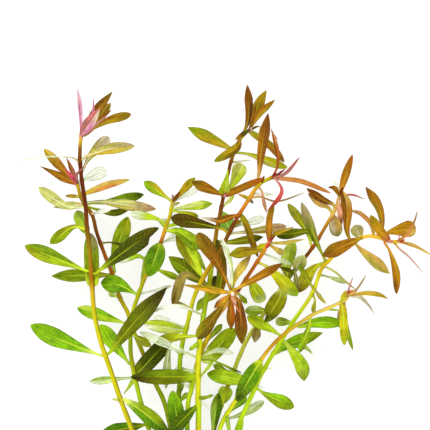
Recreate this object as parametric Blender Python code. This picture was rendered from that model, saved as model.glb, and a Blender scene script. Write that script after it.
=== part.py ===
# Ludwigia arcuata: one clump of ten leafy shoots on a short basal stem, cut off below and laid
# down on a surface. The plan is drawn in millimetres as seen from above: x to the right, y up
# along the shoots, z away from the surface. The basal stem lies at negative y.

import math
from collections import namedtuple

import bmesh
import bpy
import numpy as np
from mathutils import Vector

# Driving dimensions, in millimetres
MM = 0.001
PLAN_CENTRE = (3.9, 34.2)        # plan point that lies over the origin
BLADE_THICKNESS = 0.5            # at the midrib; the blade's edges are thin
BLADE_FOLD = 0.16                # how far the two halves of a blade fold up
PETIOLE_WIDTH = 0.9
PETIOLE_SHARE = 0.14             # part of a leaf's length that is stalk
NODE_GAP = 0.38                  # between a leaf that is its own solid and its stem
CLEARANCE = 0.45                 # between two blades that pass over each other
SURFACE_LIFT = 0.17              # height of the midrib of a leaf that lies on the surface
STEM_SIDES = 6
STEM_STEP = 0.6                  # between the points on a shoot that leaves can start from
FINE_SECTIONS = 17               # sections in which a leaf's heights are worked out
OWN_SECTIONS = 7                 # sections of a leaf that is its own solid
JOINED_SECTIONS = 5              # sections of a leaf that is joined to its shoot
SMALL_SECTIONS = 4               # sections of a leaf that is shorter or thinner than these
SMALL_LENGTH = 8.0
SMALL_WIDTH = 1.0

# Shoots: radius at the foot and at the tip, tone, and the centreline as x, y, z
STEMS = {
    "a": (0.95, 0.6, "amber", [
        (-11.9, -31, 4.4), (-14.7, -18, 5.6), (-15.5, -4, 7.8), (-16, 2.4, 8.6), (-18.1, 10.3, 9.6),
        (-20.6, 15.5, 10.2), (-24.9, 25.9, 11.5), (-27.3, 31.6, 12.4), (-29.3, 36.5, 13),
        (-30.6, 41, 13.6), (-33.4, 46.5, 14.5), (-35.8, 54, 15.5), (-38.5, 61, 16.5),
        (-41.4, 69, 17.5), (-42.9, 75, 18.2), (-45.6, 78.8, 18.5), (-47.3, 82.5, 18.5),
        (-48.3, 87, 18)]),
    "b": (1.05, 0.66, "maroon", [
        (-11.7, -44.5, 3.3), (-17, -30, 7), (-24, -12, 12.5), (-29, 0, 16.5), (-33, 10.5, 19.5),
        (-36.9, 22, 22), (-40, 31, 23.5), (-42.2, 41, 24.5), (-43, 51, 25), (-43.6, 60, 25.5),
        (-44.7, 71, 26), (-45.3, 79, 26.2), (-46.5, 87, 26), (-47.2, 94, 25.7),
        (-47.2, 98, 25.5), (-46.8, 103.5, 25)]),
    "c": (0.95, 0.6, "moss", [
        (-11.6, -38, 3.9), (-16, -24, 7.5), (-20.5, -9, 11), (-24.5, 4.5, 14), (-27.3, 15, 16.5),
        (-29.3, 25, 18.5), (-29.6, 32.6, 19.8), (-29, 40, 20.5), (-27.3, 46, 21), (-24.2, 54, 21),
        (-20.5, 61.5, 20.5), (-18, 68.5, 20), (-15.8, 75, 19.5), (-14.7, 80.5, 19)]),
    "d": (1.15, 0.52, "amber", [
        (-7.75, -26.25, 4.2), (-6.7, -12, 11.6), (-5.8, 0, 17), (-5.9, 15, 21.5), (-5.6, 28, 24),
        (-4.6, 36.5, 24), (-3, 46, 23), (-1.5, 54.5, 21.5), (-0.4, 62, 20.5), (0.6, 70, 20),
        (2.1, 77.4, 19.5), (4.2, 88, 19), (5.7, 94.2, 18.7), (8.4, 101.2, 18.5),
        (12.5, 105.5, 18)]),
    "e": (0.95, 0.62, "amber", [
        (-10.2, -26.25, 4.2), (-11.6, -12, 9.3), (-12.8, 5, 12.5), (-12.5, 16, 15), (-12.2, 25, 17),
        (-11.2, 31.1, 18.5), (-9.6, 37.3, 20.5), (-7.3, 46.5, 24), (-3.2, 55, 27), (1.8, 62.4, 29),
        (4.8, 68.8, 30), (8.4, 75.3, 30), (12, 81, 29.5), (15.5, 86, 28.5), (20.5, 88.6, 27.5)]),
    "g": (0.95, 0.6, "orange", [
        (-9.0, -26.5, 6.15), (-9.8, -10, 13), (-9.5, 8, 16.5), (-8.3, 14, 17.5), (-6.3, 23.3, 19.2),
        (-3.6, 29.9, 21.5), (0, 38.5, 25), (5, 45, 29), (8.3, 49.2, 31.5), (12.5, 55.5, 33.5),
        (16, 61, 34.5), (20, 67.7, 35)]),
    "j": (0.95, 0.56, "maroon", [
        (-6.1, -31, 4.6), (-4.5, -18, 6), (-1.5, -4, 7.6), (2, 8, 9), (4, 14, 9.7),
        (6.2, 19.4, 10.3), (8.5, 25.5, 11), (11, 31, 11.6), (15, 37.5, 12.6), (19, 43.5, 13.6),
        (23.5, 50, 14.8), (28, 56, 16), (33.5, 62.9, 17.5), (37, 68.3, 18.5), (40, 73.5, 19.2),
        (42.2, 77.6, 19.5), (43.9, 83, 19.5)]),
    "k": (1.0, 0.55, "lime", [
        (-6.3, -44.5, 3.3), (-1.5, -30, 6.5), (4.5, -10, 10.5), (8.2, 1.4, 12.5),
        (11.3, 8.6, 13.8), (16.5, 19.9, 15.5), (21.6, 28.6, 16.8), (26.7, 36.9, 18),
        (33.9, 47.6, 20), (37, 55.9, 22), (39.9, 59.4, 23), (42.5, 61.8, 23.7), (47, 65, 24.8),
        (52, 67.6, 25.5), (56.3, 67.6, 26), (61.3, 66, 26), (64.8, 66, 25.5)]),
    "l": (0.95, 0.55, "amber", [
        (-6.4, -38, 3.8), (-3, -24, 8), (-0.5, -8, 12.5), (1.6, 0, 15), (3.6, 4.5, 16.2),
        (7.2, 10.2, 17.6), (11.3, 16.8, 19), (16.5, 25.1, 20.8), (20.6, 30.2, 22),
        (25.7, 34.8, 23), (33.9, 40.2, 23.8), (39.1, 42.5, 23.8), (45.5, 45.6, 23.4),
        (46.3, 48, 23)]),
    "r": (0.8, 0.7, "orange", [(5.6, 46.6, 31.2), (5.5, 47.5, 35), (5.8, 48.6, 39.8)]),
}

# The basal stem that all the shoots leave in pairs: centreline and radius
CROWN = ([(-9, -52, 1.9), (-9, -44, 2.0), (-9, -35, 2.8), (-9, -27, 4.6)], 2.1)

# A leaf: the route of its midrib in plan, its width as seen from above, the height of its
# tip over the surface, its tone, how far it is turned about its midrib in degrees, and how
# far its middle stands above the straight line from foot to tip.
Leaf = namedtuple("Leaf", "name route width height tone turn arch", defaults=(0, 1.0))

LEAVES = [
    # Shoot b, the tall one on the left
    Leaf("b1", (-46.8, 104.3, -47.1, 112, -48.2, 120), 1.6, 27, "rose", 30),
    Leaf("b2", (-46, 105, -43, 110, -42.3, 116.2), 0.8, 29, "rose", 60),
    Leaf("b3", (-46, 104.5, -42.5, 110.5, -35.8, 118.5), 3.2, 23, "bronze"),
    Leaf("b4", (-46, 104.2, -41, 109, -36.5, 114.5), 3.6, 19, "olive"),
    Leaf("b5", (-45.6, 104, -36, 112.2), 1.6, 27, "bronze", 40),
    Leaf("b6", (-45.8, 103.6, -38, 108, -29.3, 110.5), 3.2, 25, "orange"),
    Leaf("b7", (-46.6, 103.5, -40.1, 112.4), 4.4, 36, "rose"),
    Leaf("b8", (-46.9, 90.5, -43.5, 96, -37, 102.5), 4.4, 17, "pale"),
    Leaf("b9", (-46.9, 94.5, -44.5, 96, -36, 98.5, -28, 99.4), 4.0, 29, "olive"),
    Leaf("b10", (-47.2, 93.3, -50, 95.3, -60, 95.5, -69, 94), 0.6, 23, "pale", 75),
    Leaf("b11", (-46.4, 87.5, -38.3, 91), 4.5, 8, "pale"),
    Leaf("b12", (-45.5, 82.5, -42, 84.1, -37, 85.9, -29.7, 87.7), 2.7, 23, "orange"),
    Leaf("b13", (-44.5, 68.5, -48.6, 76.8), 4.5, 8, "green"),
    Leaf("b14", (-44.7, 70.8, -50, 70.9, -57.8, 65.2), 4.0, 21, "olive"),
    Leaf("b15", (-43.5, 55.5, -66.7, 64.5), 5.6, 20, "green"),
    Leaf("b16", (-43, 50.5, -43.6, 69), 5.3, 15, "green"),
    Leaf("b17", (-42.8, 54.8, -31, 63, -19.5, 70.8), 6.2, 31, "dark"),
    Leaf("b18", (-38.3, 26.5, -46, 28.4, -55, 32, -64.8, 36.7), 6.6, 15, "green"),
    Leaf("b19", (-38.3, 26.5, -28, 38, -16.6, 50.2), 6.2, 29, "dark"),
    Leaf("b20", (-33, 10.5, -26.5, 7.3, -22.3, 4, -15.5, -2), 5.5, 22, "green"),
    Leaf("b21", (-33, 10.5, -36, 10.8), 0.8, 20, "pale"),
    # Shoot a, behind b on the left
    Leaf("a1", (-48, 86.5, -52.6, 91.6), 1.2, 20, "rose", 40),
    Leaf("a2", (-48.2, 86.3, -61.8, 92.6), 3.0, 9, "bronze"),
    Leaf("a3", (-48.2, 86, -60, 98.5), 3.4, 14, "orange"),
    Leaf("a4", (-48.3, 87, -52.3, 95.7), 1.6, 8, "bronze", 30),
    Leaf("a5", (-48.3, 87, -48.3, 89.5, -45, 92.5), 0.6, 29.5, "red", 60),
    Leaf("a6", (-47.2, 81.5, -52.6, 82), 1.4, 10, "olive"),
    Leaf("a7", (-46, 78.5, -52.5, 78.5, -62, 85), 4.0, 13, "lime"),
    Leaf("a8", (-45.8, 78.8, -57.2, 78), 3.0, 0, "bronze"),
    Leaf("a9", (-45.4, 79.2, -39, 79.8, -20.6, 77.3), 3.8, 20, "lime"),
    Leaf("a10", (-45, 78.3, -36, 76, -29.5, 77.8), 2.5, 12, "olive"),
    Leaf("a11", (-45.4, 79.4, -37, 79.9, -30, 81.3, -24.9, 82.5), 3.6, 10, "green"),
    Leaf("a12", (-43.2, 76, -36, 77.5), 1.6, 25, "rose", 30),
    Leaf("a13", (-36, 54.8, -57.5, 53.8), 4.6, 8, "moss"),
    Leaf("a14", (-36.2, 54.5, -35.3, 60, -30.5, 74.7), 5.5, 14, "olive"),
    Leaf("a15", (-39.7, 65.2, -36, 65.7, -30, 64.5), 1.0, 18.5, "olive", 70),
    Leaf("a16", (-33.3, 46.3, -37.4, 48), 2.2, 0, "green"),
    Leaf("a17", (-29.5, 37, -48.5, 42.7), 4.6, 6, "green"),
    # Shoot c, left of the middle
    Leaf("c1", (-15, 79.8, -24.9, 87), 3.6, 17, "green"),
    Leaf("c2", (-14.6, 80.6, -6.9, 88.5), 3.0, 12, "olive"),
    Leaf("c3", (-14.6, 80.6, -12.2, 83.5), 1.3, 23, "maroon"),
    Leaf("c4", (-14.6, 80.3, -5.5, 84.6), 2.2, 0, "pale"),
    Leaf("c5", (-14.9, 77.7, -0.8, 79.3), 3.2, 15, "lime"),
    Leaf("c6", (-15.3, 76.7, -5.7, 74.7), 2.2, 17, "olive"),
    Leaf("c7", (-14.9, 78.4, -12.3, 79.6), 1.2, 22, "green"),
    Leaf("c8", (-17.2, 71.3, -20.5, 74, -29.5, 75.7), 3.2, 22, "lime"),
    Leaf("c9", (-17.6, 69.8, -18.4, 74.2), 3.4, 0, "green"),
    Leaf("c10", (-17.6, 70, -12, 69, -4.8, 63.2), 5.2, 27, "green"),
    Leaf("c11", (-17, 71.3, -13, 72, -11, 70.3), 1.2, 24, "dark"),
    Leaf("c12", (-19, 65.2, -12, 68.5), 3.0, 8, "pale"),
    Leaf("c13", (-19.3, 65, -23.3, 53.7), 6.6, 33, "green"),
    Leaf("c14", (-26.7, 48.6, -24.4, 61), 1.5, 17, "green", 65),
    Leaf("c15", (-23, 58.2, -27, 60.9, -34, 58.7), 2.4, 15, "olive"),
    Leaf("c16", (-22.6, 57.3, -12.3, 52.8), 2.4, 12, "green"),
    Leaf("c17", (-27.6, 47.8, -33.5, 50.7, -40, 51.6), 6.3, 19, "green"),
    Leaf("c18", (-26.8, 48, -15, 50.4), 1.5, 17, "pale", 60),
    Leaf("c19", (-29.3, 23, -40.5, 36.8), 5.5, 12, "green"),
    Leaf("c20", (-28.2, 18.7, -44.2, 16.7), 2.8, 9, "pale"),
    Leaf("c21", (-28, 18, -32.3, 12), 1.3, 6, "green", 50),
    Leaf("c22", (-28, 19.5, -15.3, 32.5), 6.0, 14, "dark"),
    Leaf("c23", (-23.7, 2, -40.5, -1.5), 5.0, 5, "moss"),
    Leaf("c24", (-29.5, 33.5, -22.3, 29.3), 3.0, 24, "tan"),
    # Shoot d, the tall one in the middle
    Leaf("d1", (6.7, 97.5, 5, 98.7, -9.7, 106.1), 4.3, 12, "olive"),
    Leaf("d2", (10, 100.8, 7, 98.3, -0.3, 93.9), 3.2, 23, "bronze", 0, 2.5),
    Leaf("d3", (13, 104.2, 7, 101.6), 1.5, 25, "bronze", 30),
    Leaf("d4", (10, 103.2, 11.2, 107, 11.9, 113, 11.3, 121), 3.0, 18, "bronze"),
    Leaf("d5", (12.7, 105.6, 14.6, 111.6, 16.1, 115.5, 18.1, 119.2), 4.0, 11, "olive"),
    Leaf("d6", (12.6, 105.5, 16, 111, 21.1, 115.7), 2.3, 20, "orange"),
    Leaf("d7", (12.7, 105.8, 14.3, 113.6), 1.1, 22, "dark", 30),
    Leaf("d8", (12.3, 105, 16, 102, 20, 99, 24.4, 93.8), 2.7, 0, "olive"),
    Leaf("d9", (6.7, 97.4, 12, 96.5, 18, 94.3, 25.5, 91.8), 3.3, 11, "lime"),
    Leaf("d10", (5.8, 93.9, 12.7, 94.5), 0.4, 8, "pale", 70),
    Leaf("d11", (3.8, 82.8, 6.2, 86, 8.1, 90, 9.4, 93.4), 5.2, 6, "tan"),
    Leaf("d12", (3.6, 82.4, 4.6, 91.3), 4.4, 30, "lime"),
    Leaf("d13", (3, 82.3, -8.3, 87), 3.8, 25, "orange"),
    Leaf("d14", (3.8, 82.2, 10, 85, 17.2, 88.2), 2.6, 33, "bronze"),
    Leaf("d15", (2.3, 77.8, 6.8, 82), 1.4, 12, "lime", 40),
    Leaf("d16", (-2.2, 50.5, -16.3, 60.8), 5.8, 25, "dark"),
    Leaf("d17", (-2, 53.5, -8.8, 64.3), 3.1, 10, "lime"),
    Leaf("d18", (-2.8, 45.5, 1.6, 50, 2.3, 58, 0.6, 66.9), 3.6, 24, "dark"),
    Leaf("d19", (-2.8, 45.8, 0.4, 54), 3.2, 18, "dark"),
    Leaf("d20", (-4.6, 40, -13, 43.4, -23.4, 41.2), 1.2, 25, "pale", 60),
    Leaf("d21", (-4.8, 40.3, -14.2, 45.1), 1.2, 19, "pale", 60),
    Leaf("d22", (-2.8, 47.5, -6.5, 41.5), 3.0, 12, "green"),
    Leaf("d23", (-5, 32.8, -20.1, 32), 3.2, 20, "olive"),
    Leaf("d24", (-5.7, 25.5, -26.5, 34.5), 3.0, 26, "pale"),
    Leaf("d25", (-5.5, 25.5, 1, 28.1, 6.7, 26.6), 2.1, 20, "pale", 40),
    Leaf("d26", (-5.9, 18, 0, 25), 1.2, 25, "lime", 50),
    Leaf("d27", (-5.8, 24.6, 0, 24.2, 9.5, 20), 0.9, 24, "green", 70),
    Leaf("d28", (-6.5, 19, -29.5, 18.7), 5.4, 28, "olive"),
    Leaf("d29", (-5.2, 11.3, -0.5, 12.3), 1.2, 22, "olive", 40),
    Leaf("d30", (-5.5, 10.5, -1.1, 6.8), 0.8, 21, "pale", 50),
    Leaf("d31", (-5.9, 9, -17, -2), 4.8, 24, "moss"),
    Leaf("d32", (-5.8, 30.8, -9, 28), 1.5, 22, "green"),
    Leaf("d33", (0.3, 66, 6, 65.8, 17, 67.6), 3.2, 12, "dark"),
    Leaf("d34", (-6.2, 20.5, -14.4, 21), 2.5, 10, "pale"),
    # Shoot e, bending to the right above the middle
    Leaf("e1", (4.4, 69, 1, 70.8, -15.4, 74.3), 4.8, 33, "dark"),
    Leaf("e2", (7.9, 75.3, 4.5, 74.2, 1, 73.4, -5.8, 74.6), 2.5, 36, "orange"),
    Leaf("e3", (5.5, 70.2, 1.5, 77), 5.5, 15, "green"),
    Leaf("e4", (-4.4, 53.6, -13.3, 70), 6.0, 17, "dark"),
    Leaf("e5", (-5, 52, -11, 54, -14.5, 43.7), 3.6, 22, "tan"),
    Leaf("e6", (-10.4, 34.6, -25, 37.2), 4.5, 17, "lime"),
    Leaf("e7", (-10.3, 36, -21.8, 39.6), 2.5, 12, "pale"),
    Leaf("e9", (-12.2, 27, -16, 28, -17.3, 14.3), 3.0, 22, "moss"),
    Leaf("e13", (-13.2, -1, -14.9, 13.9), 6.0, 22, "green"),
    Leaf("e14", (-12.6, 13.5, -10.9, 16.5), 1.5, 18, "green"),
    Leaf("e15", (-12.6, 9.5, -9.5, 13), 1.8, 15, "lime"),
    Leaf("e16", (-12.1, 26.8, -9.2, 27.1), 0.8, 19, "olive"),
    Leaf("e17", (14.8, 86, 15.4, 90, 16.3, 98, 18.6, 111), 3.8, 26, "bronze"),
    Leaf("e18", (20.3, 88.6, 21.8, 92.5, 21.6, 97.8, 19.6, 105.6), 1.5, 29, "red", 40),
    Leaf("e19", (20.8, 88.5, 24.5, 89.8, 29.6, 95.5), 1.2, 31, "red", 50),
    Leaf("e20", (20.8, 88.3, 28.1, 87.5, 33.5, 85.9, 40.6, 82.8), 1.7, 22, "orange", 30),
    Leaf("e21", (20.6, 88, 23.3, 84.5, 22.3, 81, 18, 76.3), 1.4, 33, "red", 50),
    Leaf("e22", (14.8, 85.2, 16.4, 83.5, 17.3, 79, 18, 76), 1.2, 24, "orange", 50),
    Leaf("e23", (12.2, 81.2, 16, 81.6, 22, 80.2, 31.3, 83.1), 0.7, 30, "rose", 70),
    Leaf("e24", (8.8, 75.8, 11, 72, 15, 60.5), 2.3, 26, "olive", 30),
    Leaf("e25", (5.1, 68.6, 12, 69.5, 25, 71.3), 3.2, 22, "olive"),
    Leaf("e26", (6.2, 70.8, 17.5, 74.3), 3.0, 12, "pale"),
    Leaf("e28", (6, 71, 10, 74), 2.0, 22, "olive"),
    Leaf("e29", (11.8, 81.2, 8, 82.6), 1.2, 32, "amber", 30),
    Leaf("e30", (12, 81, 13.4, 79.3), 1.0, 24, "dark"),
    Leaf("e31", (12.8, 83, 21, 82.3), 1.0, 15, "pale", 50),
    # Shoot g, ending right of the middle
    Leaf("g1", (16.3, 62.6, 11, 62.5, 4.8, 61.3), 4.0, 40, "olive"),
    Leaf("g2", (15.6, 58.7, 17.8, 57.4, 21, 54.5, 29, 47), 4.9, 26, "lime"),
    Leaf("g3", (19, 66, 19, 74, 20.5, 79), 2.3, 31, "bronze"),
    Leaf("g4", (19.8, 65, 24, 65.8, 31.3, 66.7), 1.3, 28, "amber", 60),
    Leaf("g5", (19.3, 64.5, 24.3, 61.5), 2.4, 24, "lime"),
    Leaf("g6", (19.2, 66.3, 21.5, 69, 27.5, 71), 1.3, 37, "orange", 40),
    Leaf("g8", (17.2, 62, 26.5, 58), 1.6, 25, "pale", 50),
    Leaf("g9", (18.2, 65, 14.3, 63.5), 2.0, 27, "lime"),
    Leaf("g11", (7.5, 48.2, 11.2, 44.3), 2.0, 22, "green"),
    Leaf("g12", (11, 52.8, 13, 51, 16.5, 44.7), 4.8, 21, "lime"),
    Leaf("g13", (-5, 25.6, -1.3, 26.5, 7, 35.5), 6.0, 13, "green"),
    Leaf("g14", (-3.2, 30.5, 2.5, 37), 2.4, 14, "green"),
    Leaf("g15", (-8, 17, -12.1, 18), 1.2, 20.5, "dark"),
    Leaf("g16", (-8.5, 15, -15, 17.3), 1.5, 12, "pale"),
    # Shoot r, the rosette that faces up
    Leaf("r1", (5.2, 49.5, 4, 52.5, 0, 60, -6.2, 69), 5.0, 42, "bronze"),
    Leaf("r2", (5, 48.2, -12, 51.1), 2.6, 37, "orange"),
    Leaf("r3", (5, 47.6, -6.2, 32.1), 4.8, 36, "olive"),
    Leaf("r4", (4.8, 48, -0.4, 42.7), 2.4, 42, "red", 30),
    Leaf("r5", (5.8, 47.5, 5.6, 35.3), 3.2, 34, "bronze"),
    Leaf("r6", (6.5, 47.8, 8.5, 44, 9.4, 30.2), 4.5, 40, "bronze"),
    Leaf("r7", (6.2, 47.8, 7.2, 43.8, 9.4, 40.5), 0.7, 46, "rose", 50),
    Leaf("r8", (6.8, 49.2, 12, 52, 23.7, 58.5), 3.1, 41, "bronze"),
    Leaf("r9", (6.2, 49.6, 7.3, 54, 12.6, 61.5), 3.1, 36, "tan"),
    Leaf("r10", (5.7, 49.8, 5.6, 57, 2.4, 67.3), 2.1, 37, "pale"),
    # Shoot j, on the right, behind the others
    Leaf("j1", (44.3, 82.8, 45.3, 88, 48.2, 96.5), 2.9, 16, "bronze"),
    Leaf("j2", (43.6, 82.5, 41.8, 84.6, 39.4, 84.9), 1.8, 24, "maroon"),
    Leaf("j3", (43.9, 83, 42.5, 86.2, 41, 86.6), 0.8, 12, "pale"),
    Leaf("j4", (44.2, 82.4, 48, 82.4, 52.4, 80.8), 0.7, 23, "rose", 60),
    Leaf("j5", (43.2, 80.5, 43.8, 76, 44.4, 71.8), 2.1, 27, "tan", 30),
    Leaf("j6", (41.6, 75.6, 43, 67.7), 4.6, 7.5, "tan"),
    Leaf("j7", (41.9, 77.6, 41.2, 79, 37, 81, 31.9, 84.7), 2.8, 21, "bronze"),
    Leaf("j8", (41, 75.8, 39.5, 78, 36, 79.2, 32.4, 83), 1.6, 14, "amber"),
    Leaf("j9", (33.8, 64, 31.7, 70.4, 25.5, 79.3), 3.2, 10, "olive"),
    Leaf("j11", (36.2, 67, 33, 69.5, 21.5, 67.8), 3.6, 13, "moss"),
    Leaf("j12", (35.3, 65.7, 32, 68), 1.2, 12, "lime"),
    Leaf("j13", (25.6, 53, 25, 58, 27.7, 66.2), 4.8, 0, "green"),
    Leaf("j14", (28.4, 56.6, 31.3, 61.2), 4.8, 25, "pale"),
    Leaf("j15", (27.9, 55.6, 28.3, 53, 28.6, 49.3), 1.8, 20, "dark"),
    Leaf("j16", (27.6, 55.6, 22.5, 57), 1.4, 20, "dark"),
    Leaf("j17", (23.2, 49.6, 22.5, 46, 17.3, 37.7), 6.0, 25, "moss"),
    Leaf("j18", (17.8, 41.8, 10.5, 41.5), 3.6, 4, "green"),
    Leaf("j19", (14.8, 37.2, 14.6, 34.5, 13.8, 30.6), 3.4, 20, "tan"),
    Leaf("j22", (6.2, 19.6, -0.6, 22.6), 2.5, 4, "green"),
    Leaf("j23", (2.2, 8.5, 4.3, 14.8), 5.0, 1, "lime"),
    Leaf("j24", (-1, -2, 1.2, 13), 4.0, 15, "moss"),
    # Shoot k, the long one on the right
    Leaf("k1", (51.5, 67.4, 46, 65, 37.4, 60.9), 5.0, 29, "bronze", 0, 2),
    Leaf("k2", (47.4, 66, 46.1, 70, 46.2, 77, 44.6, 84), 3.8, 24, "bronze"),
    Leaf("k3", (55.5, 68, 54.3, 72, 51.2, 75.4, 47.7, 76.9), 1.5, 19, "orange", 60),
    Leaf("k4", (56.9, 67.6, 58.5, 71, 57.3, 78, 52.7, 85.2), 3.4, 19, "olive"),
    Leaf("k5", (60.3, 66, 57.5, 70, 54.2, 75.2), 3.2, 31, "olive"),
    Leaf("k6", (59.2, 66.8, 61.5, 69.4, 70.3, 70.8), 5.8, 23, "olive"),
    Leaf("k7", (64.5, 66.3, 67.5, 69, 69.5, 73, 70.7, 76.7), 1.0, 29, "orange", 50),
    Leaf("k8", (64.5, 66.3, 64.2, 68.5), 0.5, 30, "red"),
    Leaf("k9", (64.8, 66, 70, 64.4, 77, 60.5), 1.3, 24, "amber", 40),
    Leaf("k10", (50.5, 67.5, 49.1, 71.7), 4.6, 8, "olive"),
    Leaf("k11", (48.6, 65.6, 52, 62.3, 61.3, 54.6), 4.0, 16, "lime"),
    Leaf("k12", (59.3, 66, 61.3, 62, 63.3, 55, 63.5, 47.5), 2.8, 22, "orange"),
    Leaf("k13", (62.4, 65.8, 64.5, 63.5, 68, 60.5, 72.8, 55), 0.6, 26, "rose", 60),
    Leaf("k14", (38.8, 59, 37.3, 62, 34.5, 68, 30.1, 79.9), 3.4, 30, "olive"),
    Leaf("k15", (38.8, 60, 34, 56, 28.7, 48), 4.8, 13, "tan"),
    Leaf("k16", (33.6, 50, 31.3, 54.5, 29.3, 58), 2.2, 26, "olive"),
    Leaf("k17", (34.2, 49.8, 36.5, 47, 38.8, 44.2), 1.4, 26, "olive", 40),
    Leaf("k18", (34.4, 47.8, 35, 45, 34.2, 41), 1.3, 17, "olive", 50),
    Leaf("k19", (38.8, 57, 42, 55.5, 45, 52.8, 49.3, 49), 0.8, 19, "olive", 60),
    Leaf("k20", (37.3, 54, 42, 53, 46, 51.3), 1.4, 12, "pale", 50),
    Leaf("k22", (20.6, 26.9, 25.4, 29.6, 38, 34), 4.6, 9, "green", 0, -1),
    Leaf("k23", (23.4, 31.6, 26, 29, 30.3, 22.5, 31.4, 16.8), 5.0, 2, "green", 0, 2.5),
    Leaf("k24", (23.8, 32.5, 19, 35.5, 11.2, 39.8), 4.2, 14, "green"),
    Leaf("k25", (26.8, 37.4, 21.3, 38), 3.2, 8, "olive"),
    Leaf("k26", (14, 15, 18.5, 12, 27.8, 7.8), 4.9, 13, "lime"),
    Leaf("k29", (14.8, 15.8, 17.7, 14.3), 0.5, 18, "olive"),
    Leaf("k30", (17.4, 21.5, 20.4, 21.3), 0.6, 8, "pale"),
    Leaf("k32", (22.5, 29.8, 31, 29, 34.4, 26.3), 1.6, 5, "pale"),
    Leaf("k33", (5.8, -6, 9.8, 4), 2.4, 17, "lime"),
    # Shoot l, low on the right
    Leaf("l1", (46.4, 48, 48.2, 53.8), 0.6, 26, "rose", 50),
    Leaf("l2", (46.6, 47.8, 49.5, 49.3, 53, 54.4), 0.6, 21, "red", 50),
    Leaf("l3", (46.5, 47.6, 49.8, 49), 0.9, 25, "red"),
    Leaf("l4", (46.6, 47.3, 52, 48, 57, 47.6, 60.6, 45.9), 1.9, 24, "orange", 40),
    Leaf("l5", (46.5, 47, 50.3, 46.8, 54, 43.5, 56.1, 40.2), 1.3, 12, "pale", 40),
    Leaf("l6", (44.2, 45, 45.8, 49), 1.8, 28, "orange"),
    Leaf("l7", (44.3, 44.8, 44.8, 41, 45.3, 29.6), 3.0, 20, "lime"),
    Leaf("l8", (45.6, 45.6, 44.3, 41, 43.5, 35.5), 2.6, 8, "tan"),
    Leaf("l9", (45.2, 44, 46, 36, 48.4, 27.8), 1.7, 9, "olive"),
    Leaf("l10", (39.3, 42.8, 44.3, 41.8), 0.6, 17, "lime", 50),
    Leaf("l11", (28.3, 37, 36, 37.6, 45.8, 37.4), 4.3, 15, "green"),
    Leaf("l12", (33.4, 39.8, 32.8, 36, 29.4, 27.1), 3.0, 27, "lime"),
    Leaf("l13", (15.6, 24.4, 13, 19.5, 7.4, 10.2), 5.8, 28, "green"),
    Leaf("l14", (11.5, 17.3, 8, 17.8, -2.8, 19.6), 5.4, 16, "green"),
    Leaf("l15", (4.4, 5.8, 11.2, 11.5), 2.6, 8, "green"),
    Leaf("l16", (3, 3.5, 10, 5.6, 17.3, 9.9), 3.2, 7, "pale"),
    Leaf("l17", (4, 5, 5.2, -2), 1.5, 20, "pale"),
    # Lower leaves that the crop of the plan leaves unseen
    Leaf("b22", (-26, -7, -40, -13), 4.4, 3, "moss"),
    Leaf("c25", (-19, -14, -27, -27), 4.2, 0, "moss"),
    Leaf("d35", (-6.6, -13, 3, -22), 4.2, 9, "green"),
    Leaf("k34", (4, -11.5, 17, -18), 4.4, 0, "moss"),
    Leaf("k35", (6, -5.5, 20, -9.5), 4.4, 2, "green"),
    Leaf("l18", (-1.5, -14, 7, -28), 4.0, 0, "moss"),
    Leaf("g17", (-9.8, -9, -19, -20), 4.0, 17, "green"),
]

# Leaves that are solids of their own; the others are joined to the shoot that bears them
OWN_LEAVES = """a7 a9 a13 a14 b9 b14 b15 b16 b17 b18 b19 b20 c1 c5 c10 c13 c19 c22 d1 d4 d11 d16 d28
    e1 e4 e13 e17 g1 g2 g13 j1 j17 k1 k4 k6 k11 k12 k14 k22 k23 k26 l7 l11 l13 r1 r3 r6 r8""".split()

# How blades give way to each other, in millimetres where not shares
CELL = 1.5                       # points nearer than this in plan are compared
ROOT_SHARE = 0.13                # part of a leaf by its foot that may be close to its own shoot
ROUNDS = 400
MOST_PUSH = 3.0                  # most that one meeting counts for
PUSH_SHARE = 0.9                 # part of a push that is given in one round
HOME_PULL = 0.01                 # part of the way back to the wished height in one round
MOST_ARCH = 6.0

TONES = {
    "green": (0.13, 0.30, 0.03), "lime": (0.42, 0.55, 0.05), "moss": (0.07, 0.16, 0.02),
    "olive": (0.24, 0.24, 0.02), "dark": (0.07, 0.07, 0.015), "bronze": (0.25, 0.11, 0.015),
    "orange": (0.45, 0.18, 0.03), "amber": (0.55, 0.36, 0.04), "red": (0.42, 0.05, 0.03),
    "rose": (0.60, 0.22, 0.16), "maroon": (0.18, 0.04, 0.02), "tan": (0.38, 0.28, 0.12),
    "pale": (0.50, 0.55, 0.32),
}


def smooth_route(points, count):
    """Points spaced evenly along a smooth curve through the given points."""
    pts = np.array(points, float)
    if len(pts) == 2:
        share = np.linspace(0, 1, count)[:, None]
        return pts[0] + (pts[1] - pts[0]) * share
    ends = np.vstack([2 * pts[0] - pts[1], pts, 2 * pts[-1] - pts[-2]])
    fine = []
    for i in range(1, len(ends) - 2):
        p0, p1, p2, p3 = ends[i - 1:i + 3]
        for s in np.arange(0, 1, 0.05):
            fine.append(0.5 * (2 * p1 + (p2 - p0) * s + (2 * p0 - 5 * p1 + 4 * p2 - p3) * s ** 2
                               + (3 * p1 - p0 - 3 * p2 + p3) * s ** 3))
    fine = np.array(fine + [pts[-1]])
    run = np.concatenate([[0], np.cumsum(np.linalg.norm(np.diff(fine, axis=0), axis=1))])
    wanted = np.linspace(0, run[-1], count)
    return np.column_stack([np.interp(wanted, run, fine[:, k]) for k in range(pts.shape[1])])


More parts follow.
